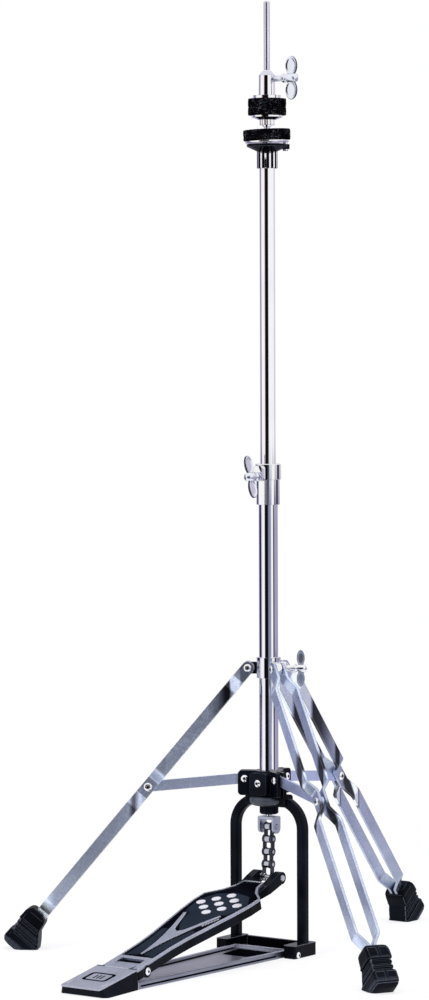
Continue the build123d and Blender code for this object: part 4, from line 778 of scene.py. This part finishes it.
def panel_depth(x, n, station, outer):
    """How far panels are let into the outer face and the sides of the boot, away from their frames."""
    for low, high in FACE_PANELS:
        along = min(station - low, high - station)
        if along <= 0:
            continue
        inside = min(PANEL_EDGE - abs(x), abs(x) - 0.8)
        if n > outer - 1.6 and inside > 0:
            return 0.8 * min(along / 0.5, inside / 0.5, 1.0)
        if n < outer - PANEL_RIM and abs(x) > PANEL_EDGE:
            return 0.6 * min(along / 0.6, (outer - PANEL_RIM - n) / 0.6, 1.0)
    return 0.0


def boot_point(station, angle):
    """A point of the boot's skin at a station: (sideways, outward)."""
    outer, inner = lerp_table(FOOT_OUTER, station), lerp_table(FOOT_INNER, station)
    half = lerp_table(FOOT_HALF, station)
    middle, reach = (outer + inner) / 2, (outer - inner) / 2
    c, s = math.cos(angle), math.sin(angle)
    x = half * math.copysign(abs(c) ** BOOT_CORNER, c)
    n = middle + reach * math.copysign(abs(s) ** BOOT_CORNER, s)
    drawn = waist_depth(station) + panel_depth(x, n, station, outer)
    if n > middle and min(abs(station - groove) for groove in TOE_GROOVES) < GROOVE_HALF:
        drawn += GROOVE_DEPTH
    if abs(x) / half > 0.9:
        x -= math.copysign(drawn, x)
    if n > middle and (n - middle) / reach > 0.9:
        n -= drawn
    return x, n


def boot_angles():
    """Angles round a boot, placed so that its square-cornered section is evenly divided along its faces."""
    angles = []
    for quarter in range(4):
        for i in range(BOOT_POINTS):
            share = (i + 0.5) / BOOT_POINTS
            lean = math.atan(math.tan(math.radians(1 + 88 * share)) ** (1 / BOOT_CORNER))
            angles.append(quarter * math.pi / 2 + lean)
    return sorted(angles)


def close_across(b, ring):
    """Close a boot's end with strips drawn straight from its left side to its right."""
    half = len(ring) // 2
    for start in (0, half):
        for i in range(half // 2 - 1):
            b.faces.new([ring[start + k] for k in (i, i + 1, half - 2 - i, half - 1 - i)])
    b.faces.new((ring[-1], ring[0], ring[half - 1], ring[half]))


def make_feet():
    stations = [FOOT_START + FOOT_STEP * i for i in range(FOOT_RINGS)]
    angles = boot_angles()
    for leg in LEGS:
        pivot, down, sideways, outward = leg_frame(leg)
        b = bmesh.new()
        rings = []
        for station in stations:
            ring = []
            for angle in angles:
                x, n = boot_point(station, angle)
                spot = pivot + down * station + sideways * x + outward * n
                spot.z = max(spot.z, 0.0)
                ring.append(b.verts.new(spot))
            rings.append(ring)
        skin(b, rings, closed=False)
        close_across(b, rings[0])
        close_across(b, rings[-1])
        make_piece(f"{leg}_foot_boot", b, f"{leg}_leg", ["rubber"], [f"{leg}_foot"], sharp=38)


# ---- clutch body and seat collar ----------------------------------------------------------------
def make_clutch_body():
    low, high = (v * 1000 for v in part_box("clutch_body"))
    foot, neck = (high.x - low.x) / 2, CLUTCH_NECK_R
    profile = [(ROD_BORE, low.z), (foot - 0.3, low.z), (foot, low.z + 0.3), (foot - 0.25, high.z - 7.0)]
    profile += arc((foot - 1.45, high.z - 5.4), 1.2, 0, 50, 5)
    profile += [(neck + 0.5, high.z - 1.3), (neck, high.z - 0.6), (neck - 0.4, high.z), (ROD_BORE, high.z)]
    profile.append((ROD_BORE, low.z))
    b = bmesh.new()
    lathe(b, Matrix.Identity(4), profile, segments=96)
    # the shoulder band takes the darker satin: a painted reflection, for the mid-grey the shoulder mirrors
    for face in b.faces:
        height = face.calc_center_median().z
        face.material_index = 1 if high.z - 6.0 < height < high.z - 0.8 else 0
    make_piece("clutch_body_turned", b, "clutch", ["chrome", "rod"], ["clutch_body"])


def make_seat_collar():
    """A fluted collar: narrow bright lands, with the grooves between them painted black as painted dark
    reflections.
    """
    low, high = (v * 1000 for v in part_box("seat_collar"))
    outer = (high.x - low.x) / 2
    levels = ((low.z, -0.5), (low.z + 0.5, 0.0), (high.z - 0.4, 0.0), (high.z, -0.3))
    b = bmesh.new()
    rings = []
    for height, shrink in levels:
        ring = []
        for flute in range(FLUTES):
            for share, reach in FLUTE:
                angle = 2 * math.pi * (flute + share) / FLUTES
                radius = outer * reach + shrink
                ring.append(b.verts.new((radius * math.cos(angle), radius * math.sin(angle), height)))
        rings.append(ring)
    for ring, height in ((rings[-1], high.z), (rings[0], low.z)):
        bore = [v.co.xy.normalized() * TUBE_BORE for v in ring]
        rings.append([b.verts.new((spot.x, spot.y, height)) for spot in bore])
    skin(b, rings)
    # the grooves take the black: painted dark reflections
    for face in b.faces:
        middle = face.calc_center_median()
        share = math.degrees(math.atan2(middle.y, middle.x)) * FLUTES / 360
        face.material_index = 0 if abs(share - round(share)) > LAND_SHARE else 1
    make_piece("seat_collar_fluted", b, "upper_column", ["chrome", "black"], ["seat_collar"])


# ---- flat details: small closed tiles with eased edges -------------------------------------------
def middle_of(outline):
    """The mean of an outline's points."""
    return Vector((sum(p[0] for p in outline), sum(p[1] for p in outline))) / len(outline)


def tile(b, place, outline, low, high, ease=0.15, index=0):
    """A flat closed tile over an outline in place's XY, from low to high, with an eased upper rim."""
    middle = middle_of(outline)
    rings = []
    for height, pull in ((low, 0.0), (high - ease, 0.0), (high, ease)):
        ring = []
        for x, y in outline:
            inward = middle - Vector((x, y))
            step = inward.normalized() * pull if inward.length > pull else inward
            ring.append(b.verts.new(place @ Vector((x + step.x, y + step.y, height))))
        rings.append(ring)
    skin(b, rings, closed=False, cap=True, index=index)


def band(b, place, outline, width, low, high):
    """A closed frame of one width that follows an outline, from low to high."""
    middle = middle_of(outline)
    inner = [tuple(Vector(p) + (middle - Vector(p)).normalized() * width * 1.25) for p in outline]
    rings = [[b.verts.new(place @ Vector((x, y, z))) for x, y in edge]
             for edge, z in ((outline, low), (outline, high), (inner, high), (inner, low))]
    skin(b, rings)


def pill(centre, half_width, half_length, corner, steps=6):
    """The outline of a rounded rectangle."""
    points = []
    for sx, sy, start in ((1, 1, 0), (-1, 1, 90), (-1, -1, 180), (1, -1, 270)):
        spot = (centre[0] + sx * (half_width - corner), centre[1] + sy * (half_length - corner))
        points += arc(spot, corner, start, start + 90, steps)
    return points


def mirrored(half):
    """A whole outline from its right half."""
    return list(half) + [(-x, y) for x, y in reversed(half)]


def make_board_details():
    # the footboard's own frame: X to the right, Y toward the toe, Z square to the board
    slope = Matrix.Rotation(math.radians(BOARD_SLOPE), 4, "X")
    place = Matrix.Translation(joint_spot("pedal")) @ slope
    b = bmesh.new()
    tile(b, place, mirrored(UPPER_PAD), INLAY_TOP - 0.3, INLAY_TOP + 0.5, 0.4)
    for side in (1, -1):
        pad = [(side * x, y) for x, y in SIDE_PAD]
        tile(b, place, pad if side > 0 else pad[::-1], INLAY_TOP - 0.3, INLAY_TOP + 0.45, 0.4)
    make_piece("footboard_grip_pads", b, "pedal", ["inlay"])
    b = bmesh.new()
    for i in range(6):
        tick = pill((17.6 + 1.15 * i, 99.5 + 3.4 * i), 0.5, 1.9, 0.4, 3)
        tile(b, place, tick, INLAY_TOP - 0.3, INLAY_TOP + 0.9)
    make_piece("footboard_ticks", b, "pedal", ["bright"])


def make_heel_details():
    low, high = (v * 1000 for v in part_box("heel_base"))
    slope = math.atan2(HEEL_FRONT_Z - HEEL_BACK_Z, HEEL_FRONT_Y - low.y)
    place = Matrix.Translation((0, HEEL_FRONT_Y, HEEL_FRONT_Z)) @ Matrix.Rotation(slope, 4, "X")
    b = bmesh.new()
    band(b, place, pill((0, -29.0), 14.5, 10.5, 4.0), 2.9, MARK_SINK, MARK_RISE)
    for i in range(3):
        tile(b, place, pill((-4.0 + 4.0 * i, -29.0), 0.9, 4.6, 0.8, 3), MARK_SINK, MARK_RISE)
    # two black dashes flush with the plate: painted shade that stands for slots
    for side in (1, -1):
        tile(b, place, pill((side * 19.0, -0.7), 5.0, 0.7, 0.5, 3), MARK_SINK, MARK_RISE)
    make_piece("heel_badge_and_painted_slot_shade", b, "stand", ["pit"])
    b = bmesh.new()
    for side in (1, -1):
        for i in range(5):
            spot = (side * 20.6, -51.5 + 2.2 * i)
            tile(b, place, pill(spot, 1.6, 0.45, 0.4, 3), MARK_SINK, MARK_RISE + 0.02)
    make_piece("heel_grip_ribs", b, "stand", ["bright"])


def side_strip(b, side, insets, ends, levels, index):
    """A strip that runs along one long side of the base plate, between two insets from its edge."""
    def edge(y):
        share = (y - PLATE_HEEL[1]) / (PLATE_TOE[1] - PLATE_HEEL[1])
        return PLATE_HEEL[0] + share * (PLATE_TOE[0] - PLATE_HEEL[0])

    low, high = insets
    corners = ((ends[0], high), (ends[0], low), (ends[1], low), (ends[1], high))
    outline = [(side * (edge(y) - inset), y) for y, inset in corners]
    outline = outline if side > 0 else outline[::-1]
    tile(b, Matrix.Identity(4), outline, *levels, ease=0.1, index=index)


def make_base_plate_details():
    b = bmesh.new()
    # a black tile as painted shade in the toe recess, then the painted lines along the sides
    tile(b, Matrix.Identity(4), mirrored(TOE_RECESS), PLATE_FLOOR - 0.3, PLATE_FLOOR + 0.25)
    for side in (1, -1):
        for strip in PLATE_PAINTED_LINES:
            side_strip(b, side, *strip)
    make_piece("base_plate_painted_shade_and_highlight", b, "stand", ["pit", "silver"])


def make_clamp_painted_reflections():
    """A painted dark reflection stripe up the clamp's side, at both of its radii, and painted reflection
    stripes beside its keel.
    """
    b = bmesh.new()
    middle, half = math.radians(CLAMP_STRIPE_AZIMUTH), math.radians(CLAMP_STRIPE_HALF)
    for radius, low, high in CLAMP_LEVELS:
        rings = []
        for height in (low, high):
            ring = []
            for reach, turns in ((radius + 0.12, range(5)), (radius - 0.4, range(4, -1, -1))):
                for i in turns:
                    angle = middle - half + 2 * half * i / 4
                    ring.append(b.verts.new((reach * math.cos(angle), reach * math.sin(angle), height)))
            rings.append(ring)
        skin(b, rings, closed=False, cap=True)
    face = frame_at((0, -CLAMP_KEEL_R, CLAMP_KEEL_Z), -Y_AXIS)
    for index, (start, end) in enumerate(CLAMP_KEEL_PAINTED_STRIPES):
        ends = ((start, -1), (end, -1), (end, 1), (start, 1))
        tile(b, face, [(x, side * CLAMP_KEEL_HALF) for x, side in ends], -0.3, 0.12, 0.05, index)
    make_piece("height_clamp_painted_reflections", b, "stand", ["seam", "strut"])


def make_casting_lip():
    """The rounded lip under the front of the casting, over the hoop, in a lighter enamel that is a painted
    highlight band.
    """
    b = bmesh.new()
    rings = []
    for i in range(33):
        share = i / 32
        angle = math.radians(LIP_START + LIP_TURN * share)
        thick = 1.4 + 3.4 * math.sin(math.pi * share) ** 0.6
        outward = Vector((math.cos(angle), math.sin(angle), 0))
        centre = outward * LIP_R + Z_AXIS * LIP_Z
        ring = []
        for j in range(16):
            turn = 2 * math.pi * j / 16
            out, up = LIP_DEPTH * math.cos(turn), thick * math.sin(turn)
            ring.append(b.verts.new(centre + outward * out + Z_AXIS * up))
        rings.append(ring)
    skin(b, rings, closed=False, cap=True)
    make_piece("casting_front_lip", b, "stand", ["lip"])


make_camera()
make_world()
make_lights()
make_floor()
dress_nodes()
make_felts()
make_wing_bolts()
make_screws()
make_feet()
make_clutch_body()
make_seat_collar()
make_board_details()
make_heel_details()
make_base_plate_details()
make_clamp_painted_reflections()
make_casting_lip()
bpy.context.scene.view_settings.view_transform = "Standard"
